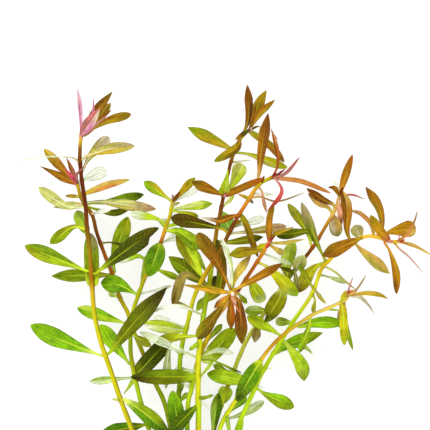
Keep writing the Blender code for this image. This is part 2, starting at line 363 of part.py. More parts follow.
def stem_line(name):
    """Closely spaced points along a shoot, with its radius at each of them."""
    foot_radius, tip_radius, _, points = STEMS[name]
    pts = np.array(points, float)
    run = np.concatenate([[0], np.cumsum(np.linalg.norm(np.diff(pts, axis=0), axis=1))])
    wanted = np.linspace(0, run[-1], round(run[-1] / STEM_STEP))
    line = np.column_stack([np.interp(wanted, run, pts[:, k]) for k in range(3)])
    return line, np.linspace(foot_radius, tip_radius, len(line))


def leaf_foot(leaf):
    """Where a leaf leaves its shoot: on the shoot's surface, on the side that it grows to."""
    line, radii = stem_line(leaf.name[0])
    route = np.array(leaf.route, float).reshape(-1, 2)
    near = int(np.argmin(np.linalg.norm(line[:, :2] - route[0], axis=1)))
    centre = line[near]
    axis = line[min(near + 1, len(line) - 1)] - line[max(near - 1, 0)]
    axis /= np.linalg.norm(axis)
    span = np.linalg.norm(route[-1] - route[0])
    ahead = route[1] - centre[:2]
    ahead /= np.linalg.norm(ahead)
    rise = (leaf.height - centre[2]) / max(span, 1) + 4 * leaf.arch / max(span, 1)
    out = np.array([ahead[0], ahead[1], rise])
    out /= np.linalg.norm(out)
    at_tip = near >= len(line) - 2 and out.dot(axis) > 0
    if not at_tip:
        out -= axis * out.dot(axis)
        if np.linalg.norm(out) < 0.25:
            out += np.array([0, 0, 1.0 if leaf.height > centre[2] else -1.0])
        out /= np.linalg.norm(out)
    if leaf.name in OWN_LEAVES:
        return centre + out * (radii[near] + NODE_GAP)
    if at_tip:
        return centre - axis * radii[near]
    return centre + out * radii[near] * 0.4


def outline(t):
    """Half width along a leaf, as a share of its widest: a narrow stalk, then a long oval."""
    s = np.clip((t - PETIOLE_SHARE) / (1 - PETIOLE_SHARE), 0, 1)
    return np.sin(np.pi * s ** 1.15) ** 0.7


class Blade:
    """The midrib of one leaf in plan, with two heights that can still give way."""

    def __init__(self, leaf, sections):
        self.leaf = leaf
        self.foot = leaf_foot(leaf)
        route = np.array(leaf.route, float).reshape(-1, 2)
        route[0] = self.foot[:2]
        self.plan = smooth_route(route, sections)
        self.t = np.linspace(0, 1, sections)
        self.tip = float(leaf.height)
        self.arch = float(leaf.arch)
        along = np.gradient(self.plan, axis=0)
        along /= np.linalg.norm(along, axis=1)[:, None]
        side = np.column_stack([-along[:, 1], along[:, 0]])
        turn = math.radians(leaf.turn)
        half = 0.5 * leaf.width * outline(self.t)
        stalk = 0.5 * min(PETIOLE_WIDTH, 0.8 * leaf.width) * math.cos(turn)
        self.half = np.maximum(half, stalk * np.minimum(0.5 + 6 * self.t, 1 - self.t ** 6))
        self.side = side
        self.slope = math.tan(turn)

    def heights(self):
        return (self.foot[2] + (self.tip - self.foot[2]) * self.t
                + self.arch * 4 * self.t * (1 - self.t))

    def edge(self, u):
        """Plan points and heights over the midrib at the share u across the blade."""
        reach = self.half * u
        return self.plan + self.side * reach[:, None], self.slope * reach + BLADE_FOLD * abs(reach)


def settle(blades):
    """Lift and lower the blades until those that cross keep their clearance."""
    rows = []
    for i, blade in enumerate(blades):
        for u in (-1, -0.5, 0, 0.5, 1):
            plan, over = blade.edge(u)
            for k, t in enumerate(blade.t):
                rows.append((plan[k, 0], plan[k, 1], over[k], t, i, BLADE_THICKNESS / 2))
    loose = len(rows)
    stem_names = list(STEMS)
    for n, name in enumerate(stem_names):
        line, radii = stem_line(name)
        for k in range(0, len(line), 2):
            rows.append((line[k, 0], line[k, 1], line[k, 2], 0, len(blades) + n, radii[k]))
    data = np.array(rows)
    owner = data[:, 4].astype(int)
    cells = {}
    keys = np.floor(data[:, :2] / CELL).astype(int)
    for index, key in enumerate(map(tuple, keys)):
        cells.setdefault(key, []).append(index)
    pairs = []
    for (cx, cy), members in cells.items():
        around = []
        for dx in (-1, 0, 1):
            for dy in (-1, 0, 1):
                around += cells.get((cx + dx, cy + dy), [])
        around = np.array(around)
        for index in members:
            if index < loose:
                near = around[around > index]
                gap = np.hypot(*(data[near, :2] - data[index, :2]).T)
                near = near[(gap < CELL) & (owner[near] != owner[index])]
                pairs += [(index, other) for other in near]
    pairs = np.array(pairs)
    first, second = pairs.T
    shoot = np.array([blade.leaf.name[0] for blade in blades] + stem_names)
    same = shoot[owner[first]] == shoot[owner[second]]
    root = (data[first, 3] < ROOT_SHARE) & (data[second, 3] < ROOT_SHARE)
    keep = ~(same & root)
    first, second = first[keep], second[keep]
    foot = np.array([blade.foot[2] for blade in blades])
    tip = np.array([blade.tip for blade in blades])
    arch = np.array([blade.arch for blade in blades])
    wish_tip, wish_arch = tip.copy(), arch.copy()
    t = data[:loose, 3]
    who = owner[:loose]
    bend = 4 * t * (1 - t)

    def all_heights():
        z = data[:, 2].copy()
        z[:loose] += foot[who] + (tip[who] - foot[who]) * t + arch[who] * bend
        return z

    z = all_heights()
    code = owner[first] * 1000 + owner[second]
    group = np.unique(code, return_inverse=True)[1]
    lean = np.bincount(group, z[first] - z[second])
    order = np.where(lean >= 0, 1.0, -1.0)[group]
    need = data[first, 5] + data[second, 5] + CLEARANCE
    weight = t / (t ** 2 + bend ** 2 + 0.05)
    weight_bend = bend / (t ** 2 + bend ** 2 + 0.05)
    fixed = second >= loose
    for _ in range(ROUNDS):
        z = all_heights()
        short = np.clip(need - order * (z[first] - z[second]), 0, MOST_PUSH)
        push = np.zeros(len(data))
        hits = np.zeros(len(data))
        share = np.where(fixed, 1.0, 0.5)
        np.add.at(push, first, short * order * share)
        np.add.at(hits, first, short > 0)
        np.add.at(push, second, -short * order * 0.5)
        np.add.at(hits, second, short > 0)
        low = np.clip(SURFACE_LIFT - z[:loose], 0, MOST_PUSH)
        push[:loose] += low
        hits[:loose] += low > 0
        push = push[:loose]
        count = np.maximum(np.bincount(who, hits[:loose] > 0, len(blades)), 1)
        step = push / np.maximum(hits[:loose], 1)
        tip += (PUSH_SHARE * np.bincount(who, step * weight, len(blades)) / count
                + HOME_PULL * (wish_tip - tip))
        arch += (PUSH_SHARE * np.bincount(who, step * weight_bend, len(blades)) / count
                 + HOME_PULL * (wish_arch - arch))
        arch = np.clip(arch, -MOST_ARCH, MOST_ARCH)
    for i, blade in enumerate(blades):
        blade.tip = float(tip[i])
        blade.arch = float(arch[i])


def plan_to_world(point):
    return Vector(((point[0] - PLAN_CENTRE[0]) * MM, (point[1] - PLAN_CENTRE[1]) * MM,
                   point[2] * MM))


def material(tone, roughness=0.5):
    name = "plant_" + tone
    if name in bpy.data.materials:
        return bpy.data.materials[name]
    made = bpy.data.materials.new(name)
    made.use_nodes = True
    shader = made.node_tree.nodes["Principled BSDF"]
    shader.inputs["Base Color"].default_value = (*TONES[tone], 1)
    shader.inputs["Roughness"].default_value = roughness
    shader.inputs["Metallic"].default_value = 0
    return made


def new_object(name, mesh, tone):
    mesh.materials.clear()
    mesh.materials.append(material(tone))
    made = bpy.data.objects.new(name, mesh)
    bpy.context.scene.collection.objects.link(made)
    return made


def stem_mesh(name, points, foot_radius, tip_radius):
    """A tapering round stem: a bevelled poly curve with filled ends, turned into a mesh."""
    count = len(points)
    run = np.cumsum([0] + [math.dist(p, q) for p, q in zip(points, points[1:])])
    curve = bpy.data.curves.new(name, "CURVE")
    curve.dimensions = "3D"
    curve.bevel_depth = foot_radius * MM
    curve.bevel_resolution = (STEM_SIDES - 4) // 2
    curve.use_fill_caps = True
    spline = curve.splines.new("POLY")
    spline.points.add(count - 1)
    for k, point in enumerate(points):
        spline.points[k].co = (*plan_to_world(point), 1)
        spline.points[k].radius = 1 + (tip_radius / foot_radius - 1) * run[k] / run[-1]
    holder = bpy.data.objects.new(name + "_route", curve)
    bpy.context.scene.collection.objects.link(holder)
    bpy.context.view_layer.update()
    mesh = bpy.data.meshes.new_from_object(holder.evaluated_get(
        bpy.context.evaluated_depsgraph_get()))
    bpy.data.objects.remove(holder)
    bm = bmesh.new()
    bm.from_mesh(mesh)
    bmesh.ops.remove_doubles(bm, verts=bm.verts, dist=1e-6)
    bmesh.ops.recalc_face_normals(bm, faces=bm.faces)
    bm.to_mesh(mesh)
    bm.free()
    return mesh


def next_ring(bm, ring, edges, places):
    """Extrude a loop of edges and put its new corners at the given places."""
    grown = bmesh.ops.extrude_edge_only(bm, edges=edges)["geom"]
    fresh = {item for item in grown if isinstance(item, bmesh.types.BMVert)}
    new_ring = []
    for corner, place in zip(ring, places):
        follow = next(e.other_vert(corner) for e in corner.link_edges
                      if e.other_vert(corner) in fresh)
        follow.co = place
        new_ring.append(follow)
    new_edges = [item for item in grown if isinstance(item, bmesh.types.BMEdge)
                 and item.verts[0] in fresh and item.verts[1] in fresh]
    return new_ring, new_edges


def blade_mesh(blade, sections, corners):
    """One leaf: a folded section of 3 or 4 corners carried from the stalk to the pointed tip."""
    step = (len(blade.t) - 1) / (sections - 1)
    picks = [round(k * step) for k in range(sections)]
    heights = blade.heights()
    centres = [Vector((*blade.plan[k], heights[k])) for k in picks]
    rings = []
    for n, k in enumerate(picks[:-1]):
        along = (centres[n + 1] - centres[max(n - 1, 0)]).normalized()
        side = Vector((*blade.side[k], blade.slope)) * blade.half[k]
        up = along.cross(side).normalized()
        thick = 0.5 * BLADE_THICKNESS * (1 - 0.5 * blade.t[k])
        lift = up * BLADE_FOLD * side.length
        places = [centres[n] + side + lift, centres[n] + up * thick,
                  centres[n] - side + lift, centres[n] - up * thick]
        if corners == 3:
            places = [places[0], places[2], places[3]]
        rings.append(places)
    bm = bmesh.new()
    ring = [bm.verts.new(plan_to_world(place)) for place in rings[0]]
    edges = [bm.edges.new((ring[k], ring[(k + 1) % corners])) for k in range(corners)]
    bmesh.ops.contextual_create(bm, geom=edges)
    for places in rings[1:]:
        ring, edges = next_ring(bm, ring, edges, [plan_to_world(place) for place in places])
    ring, edges = next_ring(bm, ring, edges, [plan_to_world(centres[-1])] * corners)
    bmesh.ops.pointmerge(bm, verts=ring, merge_co=plan_to_world(centres[-1]))
    bmesh.ops.triangulate(bm, faces=bm.faces)
    bmesh.ops.recalc_face_normals(bm, faces=bm.faces)
    mesh = bpy.data.meshes.new(blade.leaf.name)
    bm.to_mesh(mesh)
    bm.free()
    return mesh


def join_leaves(stem, helpers):
    """Unite a stem with the small leaves that grow from it, as one closed body."""
    group = bpy.data.collections.new(stem.name + "_leaves")
    bpy.context.scene.collection.children.link(group)
    for helper in helpers:
        bpy.context.scene.collection.objects.unlink(helper)
        group.objects.link(helper)
        helper.hide_render = True
        helper.display_type = "WIRE"
    union = stem.modifiers.new("leaves", "BOOLEAN")
    union.operation = "UNION"
    union.solver = "EXACT"
    union.operand_type = "COLLECTION"
    union.collection = group


def build_crown():
    points, radius = CROWN
    mesh = stem_mesh("crown", points, radius, radius * 0.8)
    new_object("crown", mesh, "moss")


def build_plant():
    blades = [Blade(leaf, FINE_SECTIONS) for leaf in LEAVES]
    settle(blades)
    build_crown()
    for name, (foot_radius, tip_radius, tone, points) in STEMS.items():
        stem = new_object("stem_" + name,
                          stem_mesh("stem_" + name, points, foot_radius, tip_radius), tone)
        helpers = []
        for blade in blades:
            leaf = blade.leaf
            if leaf.name[0] != name:
                continue
            route = np.array(leaf.route, float).reshape(-1, 2)
            reach = np.linalg.norm(route[-1] - route[0])
            if leaf.name in OWN_LEAVES:
                new_object("leaf_" + leaf.name, blade_mesh(blade, OWN_SECTIONS, 4), leaf.tone)
            else:
                small = reach < SMALL_LENGTH or leaf.width < SMALL_WIDTH
                sections = SMALL_SECTIONS if small else JOINED_SECTIONS
                helpers.append(new_object("part_" + leaf.name, blade_mesh(blade, sections, 3),
                                          leaf.tone))
        if helpers:
            join_leaves(stem, helpers)


def main():
    for old in list(bpy.data.objects):
        bpy.data.objects.remove(old)
    build_plant()


main()
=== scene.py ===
# Ludwigia arcuata: the looks of one cut clump of ten leafy shoots, laid down on a surface.
# Plan values are millimetres seen from above: x to the right, y along the shoots, z up.

import math
import random

import bmesh
import bpy
import numpy as np
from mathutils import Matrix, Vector


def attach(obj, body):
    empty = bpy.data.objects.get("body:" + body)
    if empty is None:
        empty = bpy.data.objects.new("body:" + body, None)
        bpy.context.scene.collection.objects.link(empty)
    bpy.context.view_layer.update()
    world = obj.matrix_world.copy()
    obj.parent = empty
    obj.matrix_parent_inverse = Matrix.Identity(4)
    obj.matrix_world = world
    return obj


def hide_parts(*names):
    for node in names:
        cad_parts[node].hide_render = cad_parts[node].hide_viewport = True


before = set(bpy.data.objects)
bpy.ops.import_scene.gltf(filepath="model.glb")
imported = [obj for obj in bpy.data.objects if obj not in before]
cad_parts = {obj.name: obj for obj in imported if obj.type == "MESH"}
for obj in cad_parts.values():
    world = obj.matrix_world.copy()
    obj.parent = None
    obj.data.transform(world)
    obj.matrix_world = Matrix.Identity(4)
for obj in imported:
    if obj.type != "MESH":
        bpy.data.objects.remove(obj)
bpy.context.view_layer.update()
print("solids loaded:", len(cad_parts))

# The plan point over the origin, one millimetre in metres, how near corners join in metres, and
# how low a stem may lie in millimetres
plan = {"centre": (3.9, 34.2), "metre": 0.001, "join": 2e-6, "lowest": 0.1}

# Tones as they look in soft light, red, green and blue from 0 to 255. They stand by finish:
# a leaf whose body has the tone gets that finish.
palette = {
    "greenLeaf": {
        "green": (120, 172, 8), "brightGreen": (144, 198, 12), "limeGreen": (156, 188, 22),
        "leafLime": (150, 174, 12), "freshLime": (174, 202, 22), "lime": (190, 212, 28),
        "softLime": (182, 204, 66), "softGreen": (146, 174, 62), "midGreen": (88, 136, 6),
        "leafGreen": (106, 158, 8), "sapGreen": (130, 154, 8), "fern": (110, 138, 6),
        "olive": (138, 138, 8), "brightOlive": (158, 160, 12), "oliveLime": (170, 180, 18),
        "yellowOlive": (186, 178, 16), "limeYellow": (200, 200, 26), "yellow": (222, 214, 26),
        "goldYellow": (216, 190, 20), "paleOlive": (178, 184, 60), "ghostLine": (172, 200, 104),
        "ribGreen": (198, 222, 60)},
    "darkLeaf": {
        "deepGreen": (64, 110, 4), "moss": (68, 94, 4), "darkGreen": (44, 76, 4),
        "darkMoss": (64, 76, 4), "mossOlive": (98, 108, 6), "darkOlive": (82, 78, 4),
        "dark": (54, 50, 4), "umber": (76, 62, 4)},
    "bronzeLeaf": {
        "oliveGold": (170, 146, 12), "brownOlive": (112, 88, 6), "bronzeOlive": (138, 112, 8),
        "goldOlive": (160, 136, 12), "bronzeGold": (174, 126, 12), "bronze": (156, 102, 10),
        "brown": (124, 76, 8), "darkBrown": (78, 46, 4), "redBrown": (108, 56, 6), "rust": (168, 88, 14),
        "brick": (146, 60, 16), "maroon": (94, 38, 8), "orange": (202, 132, 24),
        "goldOrange": (204, 154, 30), "softOrange": (200, 132, 62), "amber": (216, 176, 46),
        "gold": (188, 158, 22), "goldTan": (204, 170, 80), "softGold": (206, 184, 72),
        "tan": (196, 160, 100), "dustyTan": (174, 138, 94), "drabTan": (142, 128, 60)},
    "roseLeaf": {
        "darkRed": (120, 26, 14), "red": (188, 54, 36), "salmon": (214, 150, 108),
        "coral": (202, 104, 62), "rose": (202, 104, 106), "pink": (216, 132, 158),
        "lightPink": (238, 172, 196), "dustyRose": (178, 104, 92), "dustyPink": (196, 148, 126),
        "hotPink": (214, 70, 100), "palePink": (232, 196, 202)},
    "paleLeaf": {
        "paleLime": (216, 230, 110), "softOlive": (142, 144, 52), "khaki": (176, 166, 66),
        "paleKhaki": (188, 190, 98), "greyTan": (164, 148, 102), "bone": (206, 194, 156),
        "greyGreen": (150, 162, 98), "paleGreen": (184, 204, 120), "silver": (222, 230, 194),
        "cream": (242, 248, 220)},
    "sheerLeaf": {
        "ghost": (240, 247, 220)},
}

# Shoots. radii: at the foot and at the tip. warmSide: which side is redder, from 0, left, to 1;
# that side is partly the stem's own red and partly painted shade along its edge.
# route: x, y and z of the middle. bark: plan y and tone. A leaf: name | route of its midrib in
# plan | width from above, height of its tip, turn about the midrib in degrees, arch | tones of
# foot, body and tip, then of the right half's body and tip; the right half's tones are partly the
# leaf's own colour and partly painted fold shading, one half painted lighter than the other. A
# number that is left out is 0 for the turn and 1 for the arch; a tone that is left out, or a dot,
# is the tone before it. Buds are young leaves in the tip, with heights in their route and only a width.

shootB = {
    "radii": (1.05, 0.66), "warmSide": 1,
    "route": """
    -11.7 -44.5 3.3, -17 -30 7, -24 -12 12.5, -29 0 16.5, -33 10.5 19.5, -36.9 22 22, -40 31 23.5,
    -42.2 41 24.5, -43 51 25, -43.6 60 25.5, -44.7 71 26, -45.3 79 26.2, -46.5 87 26,
    -47.2 94 25.7, -47.2 98 25.5, -46.8 103.5 25""",
    "bark": """
    -44 fern, 0 yellowOlive, 40 yellowOlive, 48 gold, 53 bronze, 63 bronzeOlive, 72 redBrown,
    80 maroon, 92.5 maroon, 94.5 redBrown, 98.5 brown, 101 gold, 103 salmon""",
    "leaves": """
b1 | -46.8 104.3, -47.1 112, -48.2 120 | 1.6 27 30 | pink . palePink lightPink palePink
b2 | -46 105, -43 110, -42.3 116.2 | 0.8 29 60 | rose pink
b3 | -46 104.5, -42.5 110.5, -35.8 118.5 | 3.2 23 | dustyTan brown brownOlive bronze brownOlive
b4 | -46 104.2, -41 109, -36.5 114.5 | 3.6 19 | goldOlive oliveGold khaki bronze goldOlive
b5 | -45.6 104, -36 112.2 | 1.6 27 40 | tan bronze brown dustyPink brown
b6 | -45.8 103.6, -38 108, -29.3 110.5 | 3.2 25 | coral bronze bronzeOlive goldOlive bronzeOlive
b7 | -46.6 103.5, -40.1 112.4 | 4.4 36 | rose dustyRose rose pink bone
b8 | -46.9 90.5, -43.5 96, -37 102.5 | 4.4 17 | goldOlive khaki bone
b9 | -46.9 94.5, -44.5 96, -36 98.5, -28 99.4 | 4 29 | gold khaki greyTan gold khaki
b10 | -47.2 93.3, -50 95.3, -60 95.5, -69 94 | 0.6 23 75 | tan ghost
b11 | -46.4 87.5, -38.3 91 | 4.5 8 | ghost
b12 | -45.5 82.5, -42 84.1, -37 85.9, -29.7 87.7 | 2.7 23 | gold goldTan . softOrange softGold
b13 | -44.5 68.5, -48.6 76.8 | 4.5 8 | limeGreen . . sapGreen
b14 | -44.7 70.8, -50 70.9, -57.8 65.2 | 4 21 | yellow sapGreen . olive sapGreen
b15 | -43.5 55.5, -66.7 64.5 | 5.6 20 | lime leafLime olive fern
b16 | -43 50.5, -43.6 69 | 5.3 15 | lime sapGreen fern sapGreen greyTan
b17 | -42.8 54.8, -31 63, -19.5 70.8 | 6.2 31 | lime darkMoss darkOlive darkMoss dark
b18 | -38.3 26.5, -46 28.4, -55 32, -64.8 36.7 | 6.6 15 | paleLime green . leafGreen
b19 | -38.3 26.5, -28 38, -16.6 50.2 | 6.2 29 | limeGreen mossOlive dark mossOlive dark
b20 | -33 10.5, -26.5 7.3, -22.3 4, -15.5 -2 | 5.5 22 | paleLime sapGreen darkGreen midGreen darkGreen
b21 | -33 10.5, -36 10.8 | 0.8 20 | paleOlive
b22 | -26 -7, -40 -13 | 4.4 3 | lime moss""",
    "buds": """
bBud0 | -46.7 103.2 25.6, -45.6 106.4 27.5 | 0.9 | rose . darkRed
bBud1 | -47 103 25.4, -46.9 106 26.5 | 0.7 | palePink rose""",
}

shootA = {
    "radii": (0.95, 0.6), "warmSide": 0.1,
    "route": """
    -11.9 -31 4.4, -14.7 -18 5.6, -15.5 -4 7.8, -16 2.4 8.6, -18.1 10.3 9.6, -20.6 15.5 10.2,
    -24.9 25.9 11.5, -27.3 31.6 12.4, -29.3 36.5 13, -30.6 41 13.6, -33.4 46.5 14.5, -35.8 54 15.5,
    -38.5 61 16.5, -41.4 69 17.5, -42.9 75 18.2, -45.6 78.8 18.5, -47.3 82.5 18.5, -48.3 87 18""",
    "bark": """
    -31 fern, 5 sapGreen, 28 brightOlive, 40 yellowOlive, 46 goldOlive, 51 olive, 56 rust, 61 rust,
    66 redBrown, 75 brown, 81 bronzeOlive, 86 gold""",
    "leaves": """
a1 | -48 86.5, -52.6 91.6 | 1.2 20 40 | coral hotPink
a2 | -48.2 86.3, -61.8 92.6 | 3 9 | rust bronze brown bronze brownOlive
a3 | -48.2 86, -60 98.5 | 3.4 14 | rust bronze goldOlive bronze softGold
a4 | -48.3 87, -52.3 95.7 | 1.6 8 30 | red rust bronze dustyRose bronze
a5 | -48.3 87, -48.3 89.5, -45 92.5 | 0.6 29.5 60 | darkRed dustyRose
a6 | -47.2 81.5, -52.6 82 | 1.4 10 | paleOlive goldOlive bronzeOlive
a7 | -46 78.5, -52.5 78.5, -62 85 | 4 13 | paleLime paleKhaki
a8 | -45.8 78.8, -57.2 78 | 3 0 | goldTan paleKhaki bronzeOlive
a9 | -45.4 79.2, -39 79.8, -20.6 77.3 | 3.8 20 | olive paleKhaki dustyTan khaki dustyTan
a10 | -45 78.3, -36 76, -29.5 77.8 | 2.5 12 | lime mossOlive
a11 | -45.4 79.4, -37 79.9, -30 81.3, -24.9 82.5 | 3.6 10 | lime fern moss
a12 | -43.2 76, -36 77.5 | 1.6 25 30 | tan cream
a13 | -36 54.8, -57.5 53.8 | 4.6 8 | goldOlive sapGreen fern sapGreen fern
a14 | -36.2 54.5, -35.3 60, -30.5 74.7 | 5.5 14 | fern sapGreen . fern brightOlive
a15 | -39.7 65.2, -36 65.7, -30 64.5 | 1 18.5 70 | gold darkOlive mossOlive
a16 | -33.3 46.3, -37.4 48 | 2.2 0 | paleOlive limeGreen paleOlive
a17 | -29.5 37, -48.5 42.7 | 4.6 6 | paleLime limeGreen leafGreen green softLime""",
    "buds": """
aBud0 | -48.3 86.6 18.4, -50.8 90.2 20.5 | 0.9 | hotPink . rose
aBud1 | -48.1 86.8 18.6, -48.9 89.6 21 | 0.8 | red hotPink rose""",
}

shootC = {
    "radii": (0.95, 0.6), "warmSide": 0.9,
    "route": """
    -11.6 -38 3.9, -16 -24 7.5, -20.5 -9 11, -24.5 4.5 14, -27.3 15 16.5, -29.3 25 18.5,
    -29.6 32.6 19.8, -29 40 20.5, -27.3 46 21, -24.2 54 21, -20.5 61.5 20.5, -18 68.5 20,
    -15.8 75 19.5, -14.7 80.5 19""",
    "bark": """
    -38 fern, 5 sapGreen, 12 limeGreen, 22 brightOlive, 30 sapGreen, 42 oliveLime, 50 brightOlive,
    57 bronzeGold, 61 rust, 65 brick, 68 orange, 71 gold, 78 yellowOlive""",
    "leaves": """
c1 | -15 79.8, -24.9 87 | 3.6 17 | gold sapGreen green oliveGold sapGreen
c2 | -14.6 80.6, -6.9 88.5 | 3 12 | brown oliveGold brightOlive
c3 | -14.6 80.6, -12.2 83.5 | 1.3 23 | bronze brown maroon
c4 | -14.6 80.3, -5.5 84.6 | 2.2 0 | greyTan ghost
c5 | -14.9 77.7, -0.8 79.3 | 3.2 15 | lime paleLime limeGreen lime limeGreen
c6 | -15.3 76.7, -5.7 74.7 | 2.2 17 | lime brightOlive olive
c7 | -14.9 78.4, -12.3 79.6 | 1.2 22 | khaki . brightOlive
c8 | -17.2 71.3, -20.5 74, -29.5 75.7 | 3.2 22 | lime freshLime silver
c9 | -17.6 69.8, -18.4 74.2 | 3.4 0 | oliveLime . cream
c10 | -17.6 70, -12 69, -4.8 63.2 | 5.2 27 | lime limeGreen sapGreen fern
c11 | -17 71.3, -13 72, -11 70.3 | 1.2 24 | gold limeGreen
c12 | -19 65.2, -12 68.5 | 3 8 | paleLime ghost
c13 | -19.3 65, -23.3 53.7 | 6.6 33 | limeGreen midGreen
c14 | -26.7 48.6, -24.4 61 | 1.5 17 65 | lime . softLime
c15 | -23 58.2, -27 60.9, -34 58.7 | 2.4 15 | limeGreen . cream
c16 | -22.6 57.3, -12.3 52.8 | 2.4 12 | lime . limeGreen . sapGreen
c17 | -27.6 47.8, -33.5 50.7, -40 51.6 | 6.3 19 | green midGreen green . midGreen
c18 | -26.8 48, -15 50.4 | 1.5 17 60 | cream ghost paleKhaki
c19 | -29.3 23, -40.5 36.8 | 5.5 12 | limeGreen brightGreen . green brightGreen
c20 | -28.2 18.7, -44.2 16.7 | 2.8 9 | softGreen paleGreen silver softGreen
c21 | -28 18, -32.3 12 | 1.3 6 50 | lime limeGreen
c22 | -28 19.5, -15.3 32.5 | 6 14 | mossOlive darkMoss dark
c23 | -23.7 2, -40.5 -1.5 | 5 5 | fern moss midGreen deepGreen midGreen
c24 | -29.5 33.5, -22.3 29.3 | 3 24 | oliveLime olive . softOlive olive
c25 | -19 -14, -27 -27 | 4.2 0 | green moss""",
    "buds": """
cBud0 | -14.7 80.2 19.4, -14.9 82.6 21.5 | 0.8 | rose palePink rose
cBud1 | -14.5 80.4 19.4, -13 82.8 22.5 | 0.9 | darkRed maroon darkRed""",
}

shootD = {
    "radii": (1.15, 0.52), "warmSide": 0.15,
    "route": """
    -7.75 -26.25 4.2, -6.7 -12 11.6, -5.8 0 17, -5.9 15 21.5, -5.6 28 24, -4.6 36.5 24, -3 46 23,
    -1.5 54.5 21.5, -0.4 62 20.5, 0.6 70 20, 2.1 77.4 19.5, 4.2 88 19, 5.7 94.2 18.7,
    8.4 101.2 18.5, 12.5 105.5 18""",
    "bark": """
    -26 fern, 0 yellowOlive, 6 freshLime, 12 limeYellow, 28 limeYellow, 38 limeGreen, 46 sapGreen,
    52 oliveLime, 60 oliveLime, 67 bronzeGold, 70 bronze, 78 redBrown, 92 redBrown, 96 bronze,
    101 brownOlive, 104 limeYellow""",
    "leaves": """
d1 | 6.7 97.5, 5 98.7, -9.7 106.1 | 4.3 12 | khaki goldOlive sapGreen olive sapGreen
d2 | 10 100.8, 7 98.3, -0.3 93.9 | 3.2 23 0 2.5 | bronze brownOlive olive oliveGold olive
d3 | 13 104.2, 7 101.6 | 1.5 25 30 | darkOlive dark bronze
d4 | 10 103.2, 11.2 107, 11.9 113, 11.3 121 | 3 18 | olive brown . darkBrown brown
d5 | 12.7 105.6, 14.6 111.6, 16.1 115.5, 18.1 119.2 | 4 11 | goldOlive . . bronzeOlive goldOlive
d6 | 12.6 105.5, 16 111, 21.1 115.7 | 2.3 20 | bronzeOlive bronze . goldOlive bronzeOlive
d7 | 12.7 105.8, 14.3 113.6 | 1.1 22 30 | bronze . brown bronze darkBrown
d8 | 12.3 105, 16 102, 20 99, 24.4 93.8 | 2.7 0 | oliveLime goldOlive bronze . bronzeOlive
d9 | 6.7 97.4, 12 96.5, 18 94.3, 25.5 91.8 | 3.3 11 | khaki yellowOlive brightOlive khaki oliveLime
d10 | 5.8 93.9, 12.7 94.5 | 0.4 8 70 | paleKhaki cream
d11 | 3.8 82.8, 6.2 86, 8.1 90, 9.4 93.4 | 5.2 6 | lime paleOlive paleKhaki lime paleLime
d12 | 3.6 82.4, 4.6 91.3 | 4.4 30 | lime . . softLime lime
d13 | 3 82.3, -8.3 87 | 3.8 25 | rust bronze bronzeOlive bronze brownOlive
d14 | 3.8 82.2, 10 85, 17.2 88.2 | 2.6 33 | rust bronze rust
d15 | 2.3 77.8, 6.8 82 | 1.4 12 40 | lime paleLime lime
d16 | -2.2 50.5, -16.3 60.8 | 5.8 25 | brownOlive fern . mossOlive
d17 | -2 53.5, -8.8 64.3 | 3.1 10 | paleLime softLime
d18 | -2.8 45.5, 1.6 50, 2.3 58, 0.6 66.9 | 3.6 24 | olive mossOlive darkOlive brownOlive darkOlive
d19 | -2.8 45.8, 0.4 54 | 3.2 18 | darkMoss . dark darkOlive dark
d20 | -4.6 40, -13 43.4, -23.4 41.2 | 1.2 25 60 | paleLime cream
d21 | -4.8 40.3, -14.2 45.1 | 1.2 19 60 | paleKhaki . softOlive
d22 | -2.8 47.5, -6.5 41.5 | 3 12 | sapGreen . limeGreen
d23 | -5 32.8, -20.1 32 | 3.2 20 | oliveLime brightOlive olive oliveLime olive
d24 | -5.7 25.5, -26.5 34.5 | 3 26 | paleLime ghost softLime
d25 | -5.5 25.5, 1 28.1, 6.7 26.6 | 2.1 20 40 | softLime ghost
d26 | -5.9 18, 0 25 | 1.2 25 50 | brightOlive softLime limeGreen
d27 | -5.8 24.6, 0 24.2, 9.5 20 | 0.9 24 70 | sapGreen . moss
d28 | -6.5 19, -29.5 18.7 | 5.4 28 | limeGreen mossOlive dark fern darkMoss
d29 | -5.2 11.3, -0.5 12.3 | 1.2 22 40 | oliveLime sapGreen
d30 | -5.5 10.5, -1.1 6.8 | 0.8 21 50 | paleOlive ghost
d31 | -5.9 9, -17 -2 | 4.8 24 | midGreen moss darkGreen moss
d32 | -5.8 30.8, -9 28 | 1.5 22 | green limeGreen green
d33 | 0.3 66, 6 65.8, 17 67.6 | 3.2 12 | greyTan olive darkOlive olive dark
d34 | -6.2 20.5, -14.4 21 | 2.5 10 | paleGreen . ghost
d35 | -6.6 -13, 3 -22 | 4.2 9 | lime green""",
    "buds": """
dBud0 | 12.1 103.9 19.6, 12.9 106.6 21 | 0.5 | rose palePink
dBud1 | 12.2 104.2 19.6, 12.4 105.2 20.6 | 0.5 | darkRed . rust
dBud2 | 12.8 105.2 19, 14.6 106.2 20.6, 16 106.1 20.6 | 0.7 | olive brownOlive olive
dBud3 | 16 106.1 20.6, 15.6 104.5 20, 15 103.2 19.5 | 0.5 | amber paleLime
dBud4 | 3.3 81.6 20.2, 4.3 84 22.4 | 0.8 | palePink rose""",
}

